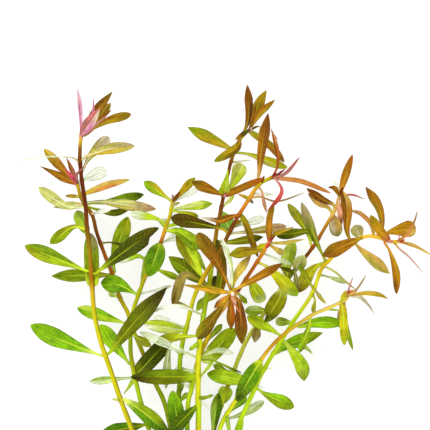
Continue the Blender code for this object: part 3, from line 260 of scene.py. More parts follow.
shootE = {
    "radii": (0.95, 0.62), "warmSide": 0.9,
    "route": """
    -10.2 -26.25 4.2, -11.6 -12 9.3, -12.8 5 12.5, -12.5 16 15, -12.2 25 17, -11.2 31.1 18.5,
    -9.6 37.3 20.5, -7.3 46.5 24, -3.2 55 27, 1.8 62.4 29, 4.8 68.8 30, 8.4 75.3 30, 12 81 29.5,
    15.5 86 28.5, 20.5 88.6 27.5""",
    "bark": """
    -26 moss, 12 sapGreen, 26 limeGreen, 32 freshLime, 42 limeYellow, 48 yellowOlive, 53 gold,
    58 bronzeGold, 61 brownOlive, 66 brown, 72 redBrown, 76 rust, 80 orange, 84 goldOrange,
    87 limeYellow, 88.6 brick""",
    "leaves": """
e1 | 4.4 69, 1 70.8, -15.4 74.3 | 4.8 33 | amber darkOlive umber .
e2 | 7.9 75.3, 4.5 74.2, 1 73.4, -5.8 74.6 | 2.5 36 | rust bronze bone brown silver
e3 | 5.5 70.2, 1.5 77 | 5.5 15 | midGreen leafGreen softGreen
e4 | -4.4 53.6, -13.3 70 | 6 17 | lime olive brownOlive freshLime brownOlive
e5 | -5 52, -11 54, -14.5 43.7 | 3.6 22 | mossOlive drabTan . . brownOlive
e6 | -10.4 34.6, -25 37.2 | 4.5 17 | lime paleLime cream lime
e7 | -10.3 36, -21.8 39.6 | 2.5 12 | ghost
e9 | -12.2 27, -16 28, -17.3 14.3 | 3 22 | paleKhaki greyGreen . . silver
e13 | -13.2 -1, -14.9 13.9 | 6 22 | midGreen . green
e14 | -12.6 13.5, -10.9 16.5 | 1.5 18 | fern . softGreen
e15 | -12.6 9.5, -9.5 13 | 1.8 15 | limeGreen . paleGreen
e16 | -12.1 26.8, -9.2 27.1 | 0.8 19 | olive
e17 | 14.8 86, 15.4 90, 16.3 98, 18.6 111 | 3.8 26 | tan bronze brown . redBrown
e18 | 20.3 88.6, 21.8 92.5, 21.6 97.8, 19.6 105.6 | 1.5 29 40 | coral brick rust . tan
e19 | 20.8 88.5, 24.5 89.8, 29.6 95.5 | 1.2 31 50 | rust dustyRose
e20 | 20.8 88.3, 28.1 87.5, 33.5 85.9, 40.6 82.8 | 1.7 22 30 | salmon softOrange
e21 | 20.6 88, 23.3 84.5, 22.3 81, 18 76.3 | 1.4 33 50 | dustyPink red brick
e22 | 14.8 85.2, 16.4 83.5, 17.3 79, 18 76 | 1.2 24 50 | goldTan salmon softOrange
e23 | 12.2 81.2, 16 81.6, 22 80.2, 31.3 83.1 | 0.7 30 70 | goldTan dustyTan greyTan
e24 | 8.8 75.8, 11 72, 15 60.5 | 2.3 26 30 | olive bronzeOlive brownOlive .
e25 | 5.1 68.6, 12 69.5, 25 71.3 | 3.2 22 | khaki . dustyTan goldOlive dustyTan
e26 | 6.2 70.8, 17.5 74.3 | 3 12 | olive ghost
e28 | 6 71, 10 74 | 2 22 | oliveLime goldOlive
e29 | 11.8 81.2, 8 82.6 | 1.2 32 30 | amber gold softOrange
e30 | 12 81, 13.4 79.3 | 1 24 | dark brownOlive dark
e31 | 12.8 83, 21 82.3 | 1 15 50 | cream ghost""",
    "buds": """
eBud0 | 20.2 88.4 28, 21.4 90.2 30 | 1 | darkRed . red
eBud1 | 16.2 86.6 28.8, 17.2 89 30.5 | 0.8 | darkRed maroon darkRed
eBud2 | 20.6 88.4 27.8, 24.6 91.4 30 | 0.8 | red darkRed red
eBud3 | 21.4 98.5 28.6, 20.4 103.2 29, 22.2 101.2 29.3 | 0.5 | darkRed red orange""",
}

shootG = {
    "radii": (0.95, 0.6), "warmSide": 0.8,
    "route": """
    -9 -26.5 6.15, -9.8 -10 13, -9.5 8 16.5, -8.3 14 17.5, -6.3 23.3 19.2, -3.6 29.9 21.5,
    0 38.5 25, 5 45 29, 8.3 49.2 31.5, 12.5 55.5 33.5, 16 61 34.5, 20 67.7 35""",
    "bark": """
    -26 midGreen, 0 midGreen, 5 lime, 18 lime, 25 gold, 33 gold, 40 orange, 46 goldTan,
    50 bronzeGold, 54 rust, 58 rust, 62 orange, 66 orange, 67.5 darkRed""",
    "leaves": """
g1 | 16.3 62.6, 11 62.5, 4.8 61.3 | 4 40 | goldOlive . olive bronzeOlive olive
g2 | 15.6 58.7, 17.8 57.4, 21 54.5, 29 47 | 4.9 26 | goldTan limeYellow sapGreen yellowOlive softGreen
g3 | 19 66, 19 74, 20.5 79 | 2.3 31 | bronze . goldOlive
g4 | 19.8 65, 24 65.8, 31.3 66.7 | 1.3 28 60 | khaki softGold
g5 | 19.3 64.5, 24.3 61.5 | 2.4 24 | gold softGold paleKhaki
g6 | 19.2 66.3, 21.5 69, 27.5 71 | 1.3 37 40 | brick goldOlive khaki gold softGold
g8 | 17.2 62, 26.5 58 | 1.6 25 50 | paleKhaki ghost
g9 | 18.2 65, 14.3 63.5 | 2 27 | limeYellow . yellowOlive
g11 | 7.5 48.2, 11.2 44.3 | 2 22 | olive fern . olive sapGreen
g12 | 11 52.8, 13 51, 16.5 44.7 | 4.8 21 | yellowOlive oliveLime paleGreen
g13 | -5 25.6, -1.3 26.5, 7 35.5 | 6 13 | paleLime leafLime . sapGreen
g14 | -3.2 30.5, 2.5 37 | 2.4 14 | brightOlive fern
g15 | -8 17, -12.1 18 | 1.2 20.5 | lime oliveLime
g16 | -8.5 15, -15 17.3 | 1.5 12 | softGreen ghost
g17 | -9.8 -9, -19 -20 | 4 17 | lime green""",
    "buds": """
gBud0 | 19 66 35.6, 20.9 69.4 37.6 | 1.3 | red darkRed
gBud1 | 18 63.8 35.2, 19.2 66 37 | 1 | red . rose""",
}

shootR = {
    "radii": (0.8, 0.7), "warmSide": 0.6,
    "route": """
    5.6 46.6 31.2, 5.5 47.5 35, 5.8 48.6 39.8""",
    "bark": """
    46.6 amber, 48.6 amber""",
    "leaves": """
r1 | 5.2 49.5, 4 52.5, 0 60, -6.2 69 | 5 42 | bronze brown bronzeOlive brown brownOlive
r2 | 5 48.2, -12 51.1 | 2.6 37 | goldOrange . gold goldOlive
r3 | 5 47.6, -6.2 32.1 | 4.8 36 | goldOrange brownOlive darkOlive brownOlive olive
r4 | 4.8 48, -0.4 42.7 | 2.4 42 30 | gold goldOrange bronze softOrange redBrown
r5 | 5.8 47.5, 5.6 35.3 | 3.2 34 | rust . brown bronze brown
r6 | 6.5 47.8, 8.5 44, 9.4 30.2 | 4.5 40 | orange redBrown brownOlive redBrown brownOlive
r7 | 6.2 47.8, 7.2 43.8, 9.4 40.5 | 0.7 46 50 | coral salmon coral
r8 | 6.8 49.2, 12 52, 23.7 58.5 | 3.1 41 | amber bronze brown
r9 | 6.2 49.6, 7.3 54, 12.6 61.5 | 3.1 36 | yellowOlive softGold gold softGold dustyTan
r10 | 5.7 49.8, 5.6 57, 2.4 67.3 | 2.1 37 | paleLime silver . paleGreen silver""",
    "buds": """
rBud0 | 5.9 48.3 39.6, 6.6 47 42.5 | 1.1 | palePink cream palePink
rBud1 | 6 48.6 39.6, 7 50 42 | 0.9 | yellow amber
rBud2 | 7.6 48.6 39, 9.2 50.2 40.6 | 0.9 | darkRed . red""",
}

shootJ = {
    "radii": (0.95, 0.56), "warmSide": 0.85,
    "route": """
    -6.1 -31 4.6, -4.5 -18 6, -1.5 -4 7.6, 2 8 9, 4 14 9.7, 6.2 19.4 10.3, 8.5 25.5 11, 11 31 11.6,
    15 37.5 12.6, 19 43.5 13.6, 23.5 50 14.8, 28 56 16, 33.5 62.9 17.5, 37 68.3 18.5, 40 73.5 19.2,
    42.2 77.6 19.5, 43.9 83 19.5""",
    "bark": """
    -31 moss, 5 moss, 10 lime, 15 olive, 20 paleOlive, 40 paleOlive, 47 olive, 55 mossOlive,
    58 redBrown, 62 redBrown, 66 rust, 72 bronzeGold, 76 goldTan, 83 tan""",
    "leaves": """
j1 | 44.3 82.8, 45.3 88, 48.2 96.5 | 2.9 16 | orange bronze . . rust
j2 | 43.6 82.5, 41.8 84.6, 39.4 84.9 | 1.8 24 | bronze . brown
j3 | 43.9 83, 42.5 86.2, 41 86.6 | 0.8 12 | paleKhaki silver cream
j4 | 44.2 82.4, 48 82.4, 52.4 80.8 | 0.7 23 60 | brown rose greyTan
j5 | 43.2 80.5, 43.8 76, 44.4 71.8 | 2.1 27 30 | goldTan salmon brown
j6 | 41.6 75.6, 43 67.7 | 4.6 7.5 | tan goldTan softOlive bone softOlive
j7 | 41.9 77.6, 41.2 79, 37 81, 31.9 84.7 | 2.8 21 | khaki redBrown brown .
j8 | 41 75.8, 39.5 78, 36 79.2, 32.4 83 | 1.6 14 | softGold goldTan dustyTan goldTan brown
j9 | 33.8 64, 31.7 70.4, 25.5 79.3 | 3.2 10 | oliveLime olive softOlive
j11 | 36.2 67, 33 69.5, 21.5 67.8 | 3.6 13 | gold mossOlive darkMoss mossOlive olive
j12 | 35.3 65.7, 32 68 | 1.2 12 | lime . yellow
j13 | 25.6 53, 25 58, 27.7 66.2 | 4.8 0 | olive softLime . sapGreen limeGreen
j14 | 28.4 56.6, 31.3 61.2 | 4.8 25 | brightOlive paleKhaki paleGreen softOlive paleKhaki
j15 | 27.9 55.6, 28.3 53, 28.6 49.3 | 1.8 20 | olive softOlive brownOlive olive fern
j16 | 27.6 55.6, 22.5 57 | 1.4 20 | mossOlive darkOlive mossOlive
j17 | 23.2 49.6, 22.5 46, 17.3 37.7 | 6 25 | paleLime olive darkMoss
j18 | 17.8 41.8, 10.5 41.5 | 3.6 4 | brightOlive sapGreen . paleGreen sapGreen
j19 | 14.8 37.2, 14.6 34.5, 13.8 30.6 | 3.4 20 | lime drabTan greyTan drabTan
j22 | 6.2 19.6, -0.6 22.6 | 2.5 4 | sapGreen . fern
j23 | 2.2 8.5, 4.3 14.8 | 5 1 | limeGreen . softLime
j24 | -1 -2, 1.2 13 | 4 15 | softGreen . fern deepGreen darkGreen""",
    "buds": """
jBud0 | 43.9 82.6 20, 44.8 85.2 22 | 0.9 | darkRed maroon brown
jBud1 | 22.6 49.4 15.4, 23.4 51.2 17 | 0.7 | red orange""",
}

shootK = {
    "radii": (1, 0.55), "warmSide": 0.7,
    "route": """
    -6.3 -44.5 3.3, -1.5 -30 6.5, 4.5 -10 10.5, 8.2 1.4 12.5, 11.3 8.6 13.8, 16.5 19.9 15.5,
    21.6 28.6 16.8, 26.7 36.9 18, 33.9 47.6 20, 37 55.9 22, 39.9 59.4 23, 42.5 61.8 23.7,
    47 65 24.8, 52 67.6 25.5, 56.3 67.6 26, 61.3 66 26, 64.8 66 25.5""",
    "bark": """
    -44 fern, 0 freshLime, 8 freshLime, 40 freshLime, 46 limeYellow, 52 limeYellow, 57 gold,
    62 goldYellow, 67 amber""",
    "leaves": """
k1 | 51.5 67.4, 46 65, 37.4 60.9 | 5 29 0 2 | goldOlive bronze brown bronze brownOlive
k2 | 47.4 66, 46.1 70, 46.2 77, 44.6 84 | 3.8 24 | goldOlive brown . bronze goldTan
k3 | 55.5 68, 54.3 72, 51.2 75.4, 47.7 76.9 | 1.5 19 60 | goldTan softOrange tan
k4 | 56.9 67.6, 58.5 71, 57.3 78, 52.7 85.2 | 3.4 19 | dustyRose bronzeOlive brown bronze
k5 | 60.3 66, 57.5 70, 54.2 75.2 | 3.2 31 | coral bronzeGold goldOlive
k6 | 59.2 66.8, 61.5 69.4, 70.3 70.8 | 5.8 23 | goldOrange bronzeGold . . goldTan
k7 | 64.5 66.3, 67.5 69, 69.5 73, 70.7 76.7 | 1 29 50 | softOrange . dustyTan
k8 | 64.5 66.3, 64.2 68.5 | 0.5 30 | rose dustyRose
k9 | 64.8 66, 70 64.4, 77 60.5 | 1.3 24 40 | softOrange goldTan softGold
k10 | 50.5 67.5, 49.1 71.7 | 4.6 8 | khaki . . . greyGreen
k11 | 48.6 65.6, 52 62.3, 61.3 54.6 | 4 16 | goldTan . . khaki
k12 | 59.3 66, 61.3 62, 63.3 55, 63.5 47.5 | 2.8 22 | softOrange bronzeGold bronze . brown
k13 | 62.4 65.8, 64.5 63.5, 68 60.5, 72.8 55 | 0.6 26 60 | gold dustyPink
k14 | 38.8 59, 37.3 62, 34.5 68, 30.1 79.9 | 3.4 30 | brightOlive mossOlive greyTan softOlive greyTan
k15 | 38.8 60, 34 56, 28.7 48 | 4.8 13 | olive limeYellow brownOlive yellowOlive drabTan
k16 | 33.6 50, 31.3 54.5, 29.3 58 | 2.2 26 | goldOlive olive fern olive mossOlive
k17 | 34.2 49.8, 36.5 47, 38.8 44.2 | 1.4 26 40 | goldOlive khaki . goldOlive yellowOlive
k18 | 34.4 47.8, 35 45, 34.2 41 | 1.3 17 50 | olive brightOlive khaki
k19 | 38.8 57, 42 55.5, 45 52.8, 49.3 49 | 0.8 19 60 | paleKhaki . greyTan
k20 | 37.3 54, 42 53, 46 51.3 | 1.4 12 50 | softOlive paleGreen
k22 | 20.6 26.9, 25.4 29.6, 38 34 | 4.6 9 0 -1 | softLime brightGreen sapGreen green fern
k23 | 23.4 31.6, 26 29, 30.3 22.5, 31.4 16.8 | 5 2 0 2.5 | softLime limeGreen sapGreen freshLime sapGreen
k24 | 23.8 32.5, 19 35.5, 11.2 39.8 | 4.2 14 | oliveLime freshLime oliveLime freshLime sapGreen
k25 | 26.8 37.4, 21.3 38 | 3.2 8 | limeGreen . paleKhaki sapGreen paleKhaki
k26 | 14 15, 18.5 12, 27.8 7.8 | 4.9 13 | limeGreen brightGreen fern sapGreen fern
k29 | 14.8 15.8, 17.7 14.3 | 0.5 18 | paleLime ghost
k30 | 17.4 21.5, 20.4 21.3 | 0.6 8 | ghost
k32 | 22.5 29.8, 31 29, 34.4 26.3 | 1.6 5 | brightGreen green paleGreen
k33 | 5.8 -6, 9.8 4 | 2.4 17 | limeGreen green limeGreen
k34 | 4 -11.5, 17 -18 | 4.4 0 | green moss
k35 | 6 -5.5, 20 -9.5 | 4.4 2 | lime green""",
    "buds": """
kBud0 | 60.4 65.8 26.6, 62.2 66.2 28.4 | 1.2 | rose salmon rose
kBud1 | 64.4 66 26, 66.4 66.6 27.8 | 0.9 | red . orange
kBud2 | 15.2 21.2 16, 15.6 22.8 17.4 | 0.7 | darkRed red brown""",
}

shootL = {
    "radii": (0.95, 0.55), "warmSide": 0.1,
    "route": """
    -6.4 -38 3.8, -3 -24 8, -0.5 -8 12.5, 1.6 0 15, 3.6 4.5 16.2, 7.2 10.2 17.6, 11.3 16.8 19,
    16.5 25.1 20.8, 20.6 30.2 22, 25.7 34.8 23, 33.9 40.2 23.8, 39.1 42.5 23.8, 45.5 45.6 23.4,
    46.3 48 23""",
    "bark": """
    -38 fern, 0 freshLime, 8 limeYellow, 18 yellowOlive, 25 amber, 31 bronzeGold, 36 gold,
    42 softGold, 46 softGold, 48 goldOrange""",
    "leaves": """
l1 | 46.4 48, 48.2 53.8 | 0.6 26 50 | gold dustyPink
l2 | 46.6 47.8, 49.5 49.3, 53 54.4 | 0.6 21 50 | rust dustyTan greyTan
l3 | 46.5 47.6, 49.8 49 | 0.9 25 | softOrange goldTan softOrange
l4 | 46.6 47.3, 52 48, 57 47.6, 60.6 45.9 | 1.9 24 40 | goldOrange goldTan goldOlive gold goldOlive
l5 | 46.5 47, 50.3 46.8, 54 43.5, 56.1 40.2 | 1.3 12 40 | cream bone
l6 | 44.2 45, 45.8 49 | 1.8 28 | yellow limeYellow gold
l7 | 44.3 44.8, 44.8 41, 45.3 29.6 | 3 20 | gold yellowOlive oliveLime
l8 | 45.6 45.6, 44.3 41, 43.5 35.5 | 2.6 8 | tan dustyTan olive
l9 | 45.2 44, 46 36, 48.4 27.8 | 1.7 9 | softLime sapGreen
l10 | 39.3 42.8, 44.3 41.8 | 0.6 17 50 | softLime . paleLime
l11 | 28.3 37, 36 37.6, 45.8 37.4 | 4.3 15 | limeGreen green . brightGreen green
l12 | 33.4 39.8, 32.8 36, 29.4 27.1 | 3 27 | limeYellow sapGreen fern sapGreen green
l13 | 15.6 24.4, 13 19.5, 7.4 10.2 | 5.8 28 | lime midGreen darkGreen midGreen darkGreen
l14 | 11.5 17.3, 8 17.8, -2.8 19.6 | 5.4 16 | lime limeGreen green limeGreen fern
l15 | 4.4 5.8, 11.2 11.5 | 2.6 8 | midGreen . green
l16 | 3 3.5, 10 5.6, 17.3 9.9 | 3.2 7 | sapGreen paleGreen silver paleGreen
l17 | 4 5, 5.2 -2 | 1.5 20 | green softGreen green
l18 | -1.5 -14, 7 -28 | 4 0 | green moss""",
    "buds": """
lBud0 | 46.2 47.4 23.6, 48.2 49.2 25.6 | 0.9 | red . orange
lBud1 | 46.4 47.2 23.4, 49 48 24.6 | 0.8 | darkRed red salmon""",
}

shoots = {"b": shootB, "a": shootA, "c": shootC, "d": shootD, "e": shootE, "g": shootG,
          "r": shootR, "j": shootJ, "k": shootK, "l": shootL}
ownLeaves = {name[5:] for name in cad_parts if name.startswith("leaf_")}
tones = {word: rgb for group in palette.values() for word, rgb in group.items()}
finishOf = {word: finish for finish, group in palette.items() for word in group}


# From the screen's scale to linear light
def toneColour(word):
    return np.array([((c / 255 + 0.055) / 1.055) ** 2.4 if c > 10 else c / 3295 for c in tones[word]])


def toPlace(point):
    cx, cy = plan["centre"]
    return Vector((point[0] - cx, point[1] - cy, point[2])) * plan["metre"]


def readPoints(text, columns):
    return np.array(text.replace(",", " ").split(), float).reshape(-1, columns)


def readWords(text):
    words = []
    for word in text.split():
        words.append(words[-1] if word == "." else word)
    return words + words[-1:] * (3 - len(words))


def readRows(text):
    return [[part.strip() for part in row.split("|")] for row in text.strip().splitlines()]


def readLeaf(name, route, numbers, words):
    width, height, *rest = (float(number) for number in numbers.split())
    turn, arch = rest + [0.0, 1.0][len(rest):]
    return {"name": name, "letter": name[0], "route": readPoints(route, 2), "width": width,
            "height": height, "tones": readWords(words), "turn": math.radians(turn), "arch": arch}


# How the blades lie over each other: the same rules as for the solids, in millimetres
lay = {
    "thickness": 0.5, "fold": 0.16, "petioleWidth": 0.9, "petioleShare": 0.14, "nodeGap": 0.38,
    "clearance": 0.45, "lift": 0.17, "stemStep": 0.6, "sections": 17, "cell": 1.5,
    "rootShare": 0.13, "rounds": 400, "mostPush": 3.0, "pushShare": 0.9, "homePull": 0.01,
    "mostArch": 6.0, "across": (-1, -0.5, 0, 0.5, 1), "even": 0.05,
    "rootDepth": 0.3, "joinDepth": 0.4, "leastOut": 0.25, "bladeShape": (1.15, 0.7),
}


def runAlong(points):
    return np.concatenate([[0], np.cumsum(np.linalg.norm(np.diff(points, axis=0), axis=1))])


def pointsAt(wanted, run, points):
    return np.column_stack([np.interp(wanted, run, column) for column in points.T])


def unit(rows):
    return rows / np.linalg.norm(rows, axis=1)[:, None]


def smoothStep(low, high, x):
    s = np.clip((x - low) / (high - low), 0, 1)
    return s * s * (3 - 2 * s)


def smoothRoute(points, count):
    pts = np.array(points, float)
    if len(pts) == 2:
        return pts[0] + (pts[1] - pts[0]) * np.linspace(0, 1, count)[:, None]
    ends = np.vstack([2 * pts[0] - pts[1], pts, 2 * pts[-1] - pts[-2]])
    fine = []
    for i in range(1, len(ends) - 2):
        p0, p1, p2, p3 = ends[i - 1:i + 3]
        for s in np.arange(0, 1, 0.05):
            fine.append(0.5 * (2 * p1 + (p2 - p0) * s + (2 * p0 - 5 * p1 + 4 * p2 - p3) * s ** 2
                               + (3 * p1 - p0 - 3 * p2 + p3) * s ** 3))
    fine = np.array(fine + [pts[-1]])
    run = runAlong(fine)
    return pointsAt(np.linspace(0, run[-1], count), run, fine)


def stemLine(shoot):
    pts = readPoints(shoot["route"], 3)
    run = runAlong(pts)
    line = pointsAt(np.linspace(0, run[-1], round(run[-1] / lay["stemStep"])), run, pts)
    return line, np.linspace(*shoot["radii"], len(line))


def leafFoot(leaf, line, radii):
    route = leaf["route"]
    near = int(np.argmin(np.linalg.norm(line[:, :2] - route[0], axis=1)))
    centre = line[near]
    axis = line[min(near + 1, len(line) - 1)] - line[max(near - 1, 0)]
    axis /= np.linalg.norm(axis)
    span = max(np.linalg.norm(route[-1] - route[0]), 1)
    ahead = route[1] - centre[:2]
    ahead /= np.linalg.norm(ahead)
    rise = (leaf["height"] - centre[2]) / span + 4 * leaf["arch"] / span
    out = np.array([ahead[0], ahead[1], rise])
    out /= np.linalg.norm(out)
    atTip = near >= len(line) - 2 and out.dot(axis) > 0
    if not atTip:
        out -= axis * out.dot(axis)
        if np.linalg.norm(out) < lay["leastOut"]:
            out += np.array([0, 0, 1.0 if leaf["height"] > centre[2] else -1.0])
        out /= np.linalg.norm(out)
    leaf["root"] = centre + out * radii[near] * lay["rootDepth"]
    if leaf["name"] in ownLeaves:
        return centre + out * (radii[near] + lay["nodeGap"])
    if atTip:
        leaf["root"] = centre - axis * radii[near]
        return leaf["root"]
    return centre + out * radii[near] * lay["joinDepth"]


def planBlade(leaf, line, radii):
    leaf["foot"] = leafFoot(leaf, line, radii)
    route = leaf["route"].copy()
    route[0] = leaf["foot"][:2]
    leaf["plan"] = smoothRoute(route, lay["sections"])
    t = np.linspace(0, 1, lay["sections"])
    along = unit(np.gradient(leaf["plan"], axis=0))
    leaf["side"] = np.column_stack([-along[:, 1], along[:, 0]])
    s = np.clip((t - lay["petioleShare"]) / (1 - lay["petioleShare"]), 0, 1)
    late, full = lay["bladeShape"]
    half = 0.5 * leaf["width"] * np.sin(np.pi * s ** late) ** full
    stalk = 0.5 * min(lay["petioleWidth"], 0.8 * leaf["width"]) * math.cos(leaf["turn"])
    leaf["half"] = np.maximum(half, stalk * np.minimum(0.5 + 6 * t, 1 - t ** 6))


def layRows(leaves, lines):
    rows = []
    for i, leaf in enumerate(leaves):
        for u in lay["across"]:
            reach = leaf["half"] * u
            edge = leaf["plan"] + leaf["side"] * reach[:, None]
            over = math.tan(leaf["turn"]) * reach + lay["fold"] * abs(reach)
            for k, t in enumerate(np.linspace(0, 1, lay["sections"])):
                rows.append((edge[k, 0], edge[k, 1], over[k], t, i, lay["thickness"] / 2))
    loose = len(rows)
    for n, (line, radii) in enumerate(lines.values()):
        for k in range(0, len(line), 2):
            rows.append((*line[k], 0, len(leaves) + n, radii[k]))
    return np.array(rows), loose


def nearPairs(data, loose):
    owner = data[:, 4]
    cells = {}
    for index, key in enumerate(map(tuple, np.floor(data[:, :2] / lay["cell"]).astype(int))):
        cells.setdefault(key, []).append(index)
    pairs = []
    for (cx, cy), members in cells.items():
        around = np.array([k for dx in (-1, 0, 1) for dy in (-1, 0, 1)
                           for k in cells.get((cx + dx, cy + dy), [])])
        for index in (m for m in members if m < loose):
            near = around[around > index]
            gap = np.hypot(*(data[near, :2] - data[index, :2]).T)
            near = near[(gap < lay["cell"]) & (owner[near] != owner[index])]
            pairs += [(index, other) for other in near]
    return np.array(pairs).T


def settleBlades(leaves, lines):
    data, loose = layRows(leaves, lines)
    first, second = nearPairs(data, loose)
    owner = data[:, 4].astype(int)
    grower = np.array([leaf["letter"] for leaf in leaves] + list(lines))
    same = grower[owner[first]] == grower[owner[second]]
    root = (data[first, 3] < lay["rootShare"]) & (data[second, 3] < lay["rootShare"])
    first, second = first[~(same & root)], second[~(same & root)]
    foot = np.array([leaf["foot"][2] for leaf in leaves])
    wishTip = np.array([leaf["height"] for leaf in leaves])
    wishArch = np.array([leaf["arch"] for leaf in leaves])
    tip, arch = wishTip.copy(), wishArch.copy()
    t, who = data[:loose, 3], owner[:loose]
    bend = 4 * t * (1 - t)

    def heights():
        z = data[:, 2].copy()
        z[:loose] += foot[who] + (tip[who] - foot[who]) * t + arch[who] * bend
        return z

    z = heights()
    group = np.unique(owner[first] * 1000 + owner[second], return_inverse=True)[1]
    order = np.where(np.bincount(group, z[first] - z[second]) >= 0, 1.0, -1.0)[group]
    need = data[first, 5] + data[second, 5] + lay["clearance"]
    weight, weightBend = (lever / (t ** 2 + bend ** 2 + lay["even"]) for lever in (t, bend))
    share = np.where(second >= loose, 1.0, 0.5)
    for _ in range(lay["rounds"]):
        z = heights()
        short = np.clip(need - order * (z[first] - z[second]), 0, lay["mostPush"])
        push, hits = np.zeros(len(data)), np.zeros(len(data))
        np.add.at(push, first, short * order * share)
        np.add.at(push, second, -short * order * 0.5)
        for side in (first, second):
            np.add.at(hits, side, short > 0)
        low = np.clip(lay["lift"] - z[:loose], 0, lay["mostPush"])
        push[:loose] += low
        hits[:loose] += low > 0
        count = np.maximum(np.bincount(who, hits[:loose] > 0, len(leaves)), 1)
        step = push[:loose] / np.maximum(hits[:loose], 1)
        tip += (lay["pushShare"] * np.bincount(who, step * weight, len(leaves)) / count
                + lay["homePull"] * (wishTip - tip))
        arch += (lay["pushShare"] * np.bincount(who, step * weightBend, len(leaves)) / count
                 + lay["homePull"] * (wishArch - arch))
        arch = np.clip(arch, -lay["mostArch"], lay["mostArch"])
    t = np.linspace(0, 1, lay["sections"])
    for leaf, tipHeight, archHeight in zip(leaves, tip, arch):
        footHeight = leaf["foot"][2]
        rise = footHeight + (tipHeight - footHeight) * t + archHeight * 4 * t * (1 - t)
        leaf["middle"] = np.column_stack([leaf["plan"], rise])


# Leaf blades, in millimetres; what runs from a to b along a leaf is in shares of its length
leafForm = {
    "across": (-1, -0.93, -0.75, -0.48, -0.22, -0.08, 0, 0.08, 0.22, 0.48, 0.75, 0.93, 1),
    "rows": 28, "smallRows": 18, "smallLength": 9.0, "firstRow": 0.25, "crowding": 1.25,
    "strapWidth": 1.7, "stalkHalf": 0.42, "stalkFlare": 0.35, "flareLength": 1.2,
    "stalkThick": 0.75, "bladeThick": 0.34, "tipThick": 0.2, "thickening": (0.03, 0.32),
    "fold": (0.14, 0.3), "foldRound": 0.02, "tipFold": 0.4, "bulge": 0.07,
    "wave": 0.05, "waves": (9, 14), "waveStart": (0, 6), "waveShift": (0.4, 1.6),
    "groove": 0.1, "grooveHalf": 0.22, "ridge": 0.2, "ridgeHalf": 0.28, "ribbedHalf": 1.3,
    "twist": 0.12, "twisting": (0.2, 1), "ribHalf": 0.22,
    "bodyTone": (0.06, 0.34), "tipTone": (0.55, 0.92), "rightToneAndFoldShade": (0.1, 0.35), "toneSeam": 0.06,
    "samples": 160, "rootGap": 0.05, "stalkShare": 0.42, "mostThick": 0.9, "biteLength": 0.07,
    "leastRib": 0.15, "ribGrowth": (0.8, 2.4),
}
# An outline: where it is widest, then two powers before that place and two after it
outlines = {
    "broad": (0.64, 1.3, 1.4, 2.4, 0.8), "lance": (0.64, 1.4, 0.9, 1.6, 0.95),
    "strap": (0.45, 1.6, 0.5, 1.9, 0.75), "spoon": (0.74, 1.2, 1.3, 2.6, 0.6),
    "paddle": (0.72, 1.5, 1.0, 1.5, 0.9), "blade": (0.5, 3.0, 0.35, 3.2, 0.75),
    "oval": (0.52, 2.0, 0.7, 2.2, 0.7), "taper": (0.4, 1.6, 0.8, 1.25, 1.1),
    "wedge": (0.16, 2.0, 0.4, 1.0, 0.9), "point": (0.6, 1.6, 0.9, 1.7, 0.9),
    "round": (0.6, 1.8, 0.9, 2.8, 0.5), "full": (0.62, 1.3, 1.3, 2.6, 0.75),
}
# Leaves with an outline of their own. Of the others a narrow one is a strap, a bronze or rose
# one a lance and any other broad
shapeLists = {
    "spoon": "b6 e1 r1 r3 e25 k6 l16 c8 d11 b8", "paddle": "e17 c5 c10 k1 k2 k4 r6 r8 g1 d33 d13 d4",
    "blade": "d14 b16 c22 g13 d18 e20 l7 e24 k5 d8 k3 g3 b4 l9", "wedge": "d12 c21",
    "oval": "c13 l13 j17 e13 d19 d2 j18 j14 j13 k10 b13 l14 d28 e3 e6 j6", "lance": "d6 b19",
    "point": "k23 a13 d5 d16 e4 b20 l11 c23 d31 k22", "taper": "r2 g4 k9 a8 a2 e2",
    "round": "e5 g12 j23 k25 b11", "full": "b17 a9 a14 k12 a3", "broad": "b15 b18 a17 c17 b9 a7",
    "strap": "b12 j1",
}
shapeOf = {name: shape for shape, names in shapeLists.items() for name in names.split()}
bites = {"b17": (-1, 0.78, 0.6), "j17": (-1, 0.78, 0.55)}   # side, where it starts, depth


def leafFinish(leaf):
    return finishOf[leaf["tones"][1]]


def outlineShare(leaf, s, width):
    shape = "lance" if leafFinish(leaf) in ("bronzeLeaf", "roseLeaf") else "broad"
    if width < leafForm["strapWidth"]:
        shape = "strap"
    peak, a, b, c, d = outlines[shapeOf.get(leaf["name"], shape)]
    before = np.clip((peak - s) / peak, 0, 1)
    after = np.clip((s - peak) / (1 - peak), 0, 1)
    return (1 - before ** a) ** b * (1 - after ** c) ** d


def leafTones(leaf, s, u):
    foot, body, tip = (toneColour(word) for word in leaf["tones"][:3])
    toBody, toTip = (smoothStep(*leafForm[part], s)[:, None] for part in ("bodyTone", "tipTone"))
    ramp = (foot * (1 - toBody) + body * toBody) * (1 - toTip) + tip * toTip
    ramp = ramp[:, None, :] * np.ones((1, len(u), 1))
    # The right half's tones are partly the leaf's own colour and partly painted fold shading, one half of
    # the fold painted lighter than the other.
    if len(leaf["tones"]) > 3:
        seam = leafForm["toneSeam"]
        right = smoothStep(seam, -seam, u)[None, :, None]
        right = right * smoothStep(*leafForm["rightToneAndFoldShade"], s)[:, None, None]
        rightBodyAndShade, rightTipAndShade = (toneColour(leaf["tones"][k]) for k in (3, -1))
        other = rightBodyAndShade[None, None, :] * (1 - toTip[..., None]) + rightTipAndShade * toTip[..., None]
        ramp = ramp * (1 - right) + other * right
    return ramp


def gridSpots(bm, columns, rows):
    grid = bmesh.ops.create_grid(bm, x_segments=columns, y_segments=rows, size=1)["verts"]
    for vert in grid:
        yield vert, round((vert.co.x + 1) / 2 * columns), round((vert.co.y + 1) / 2 * rows)
    for face in {face for vert in grid for face in vert.link_faces}:
        face.smooth = True
    bmesh.ops.remove_doubles(bm, verts=grid, dist=plan["join"])


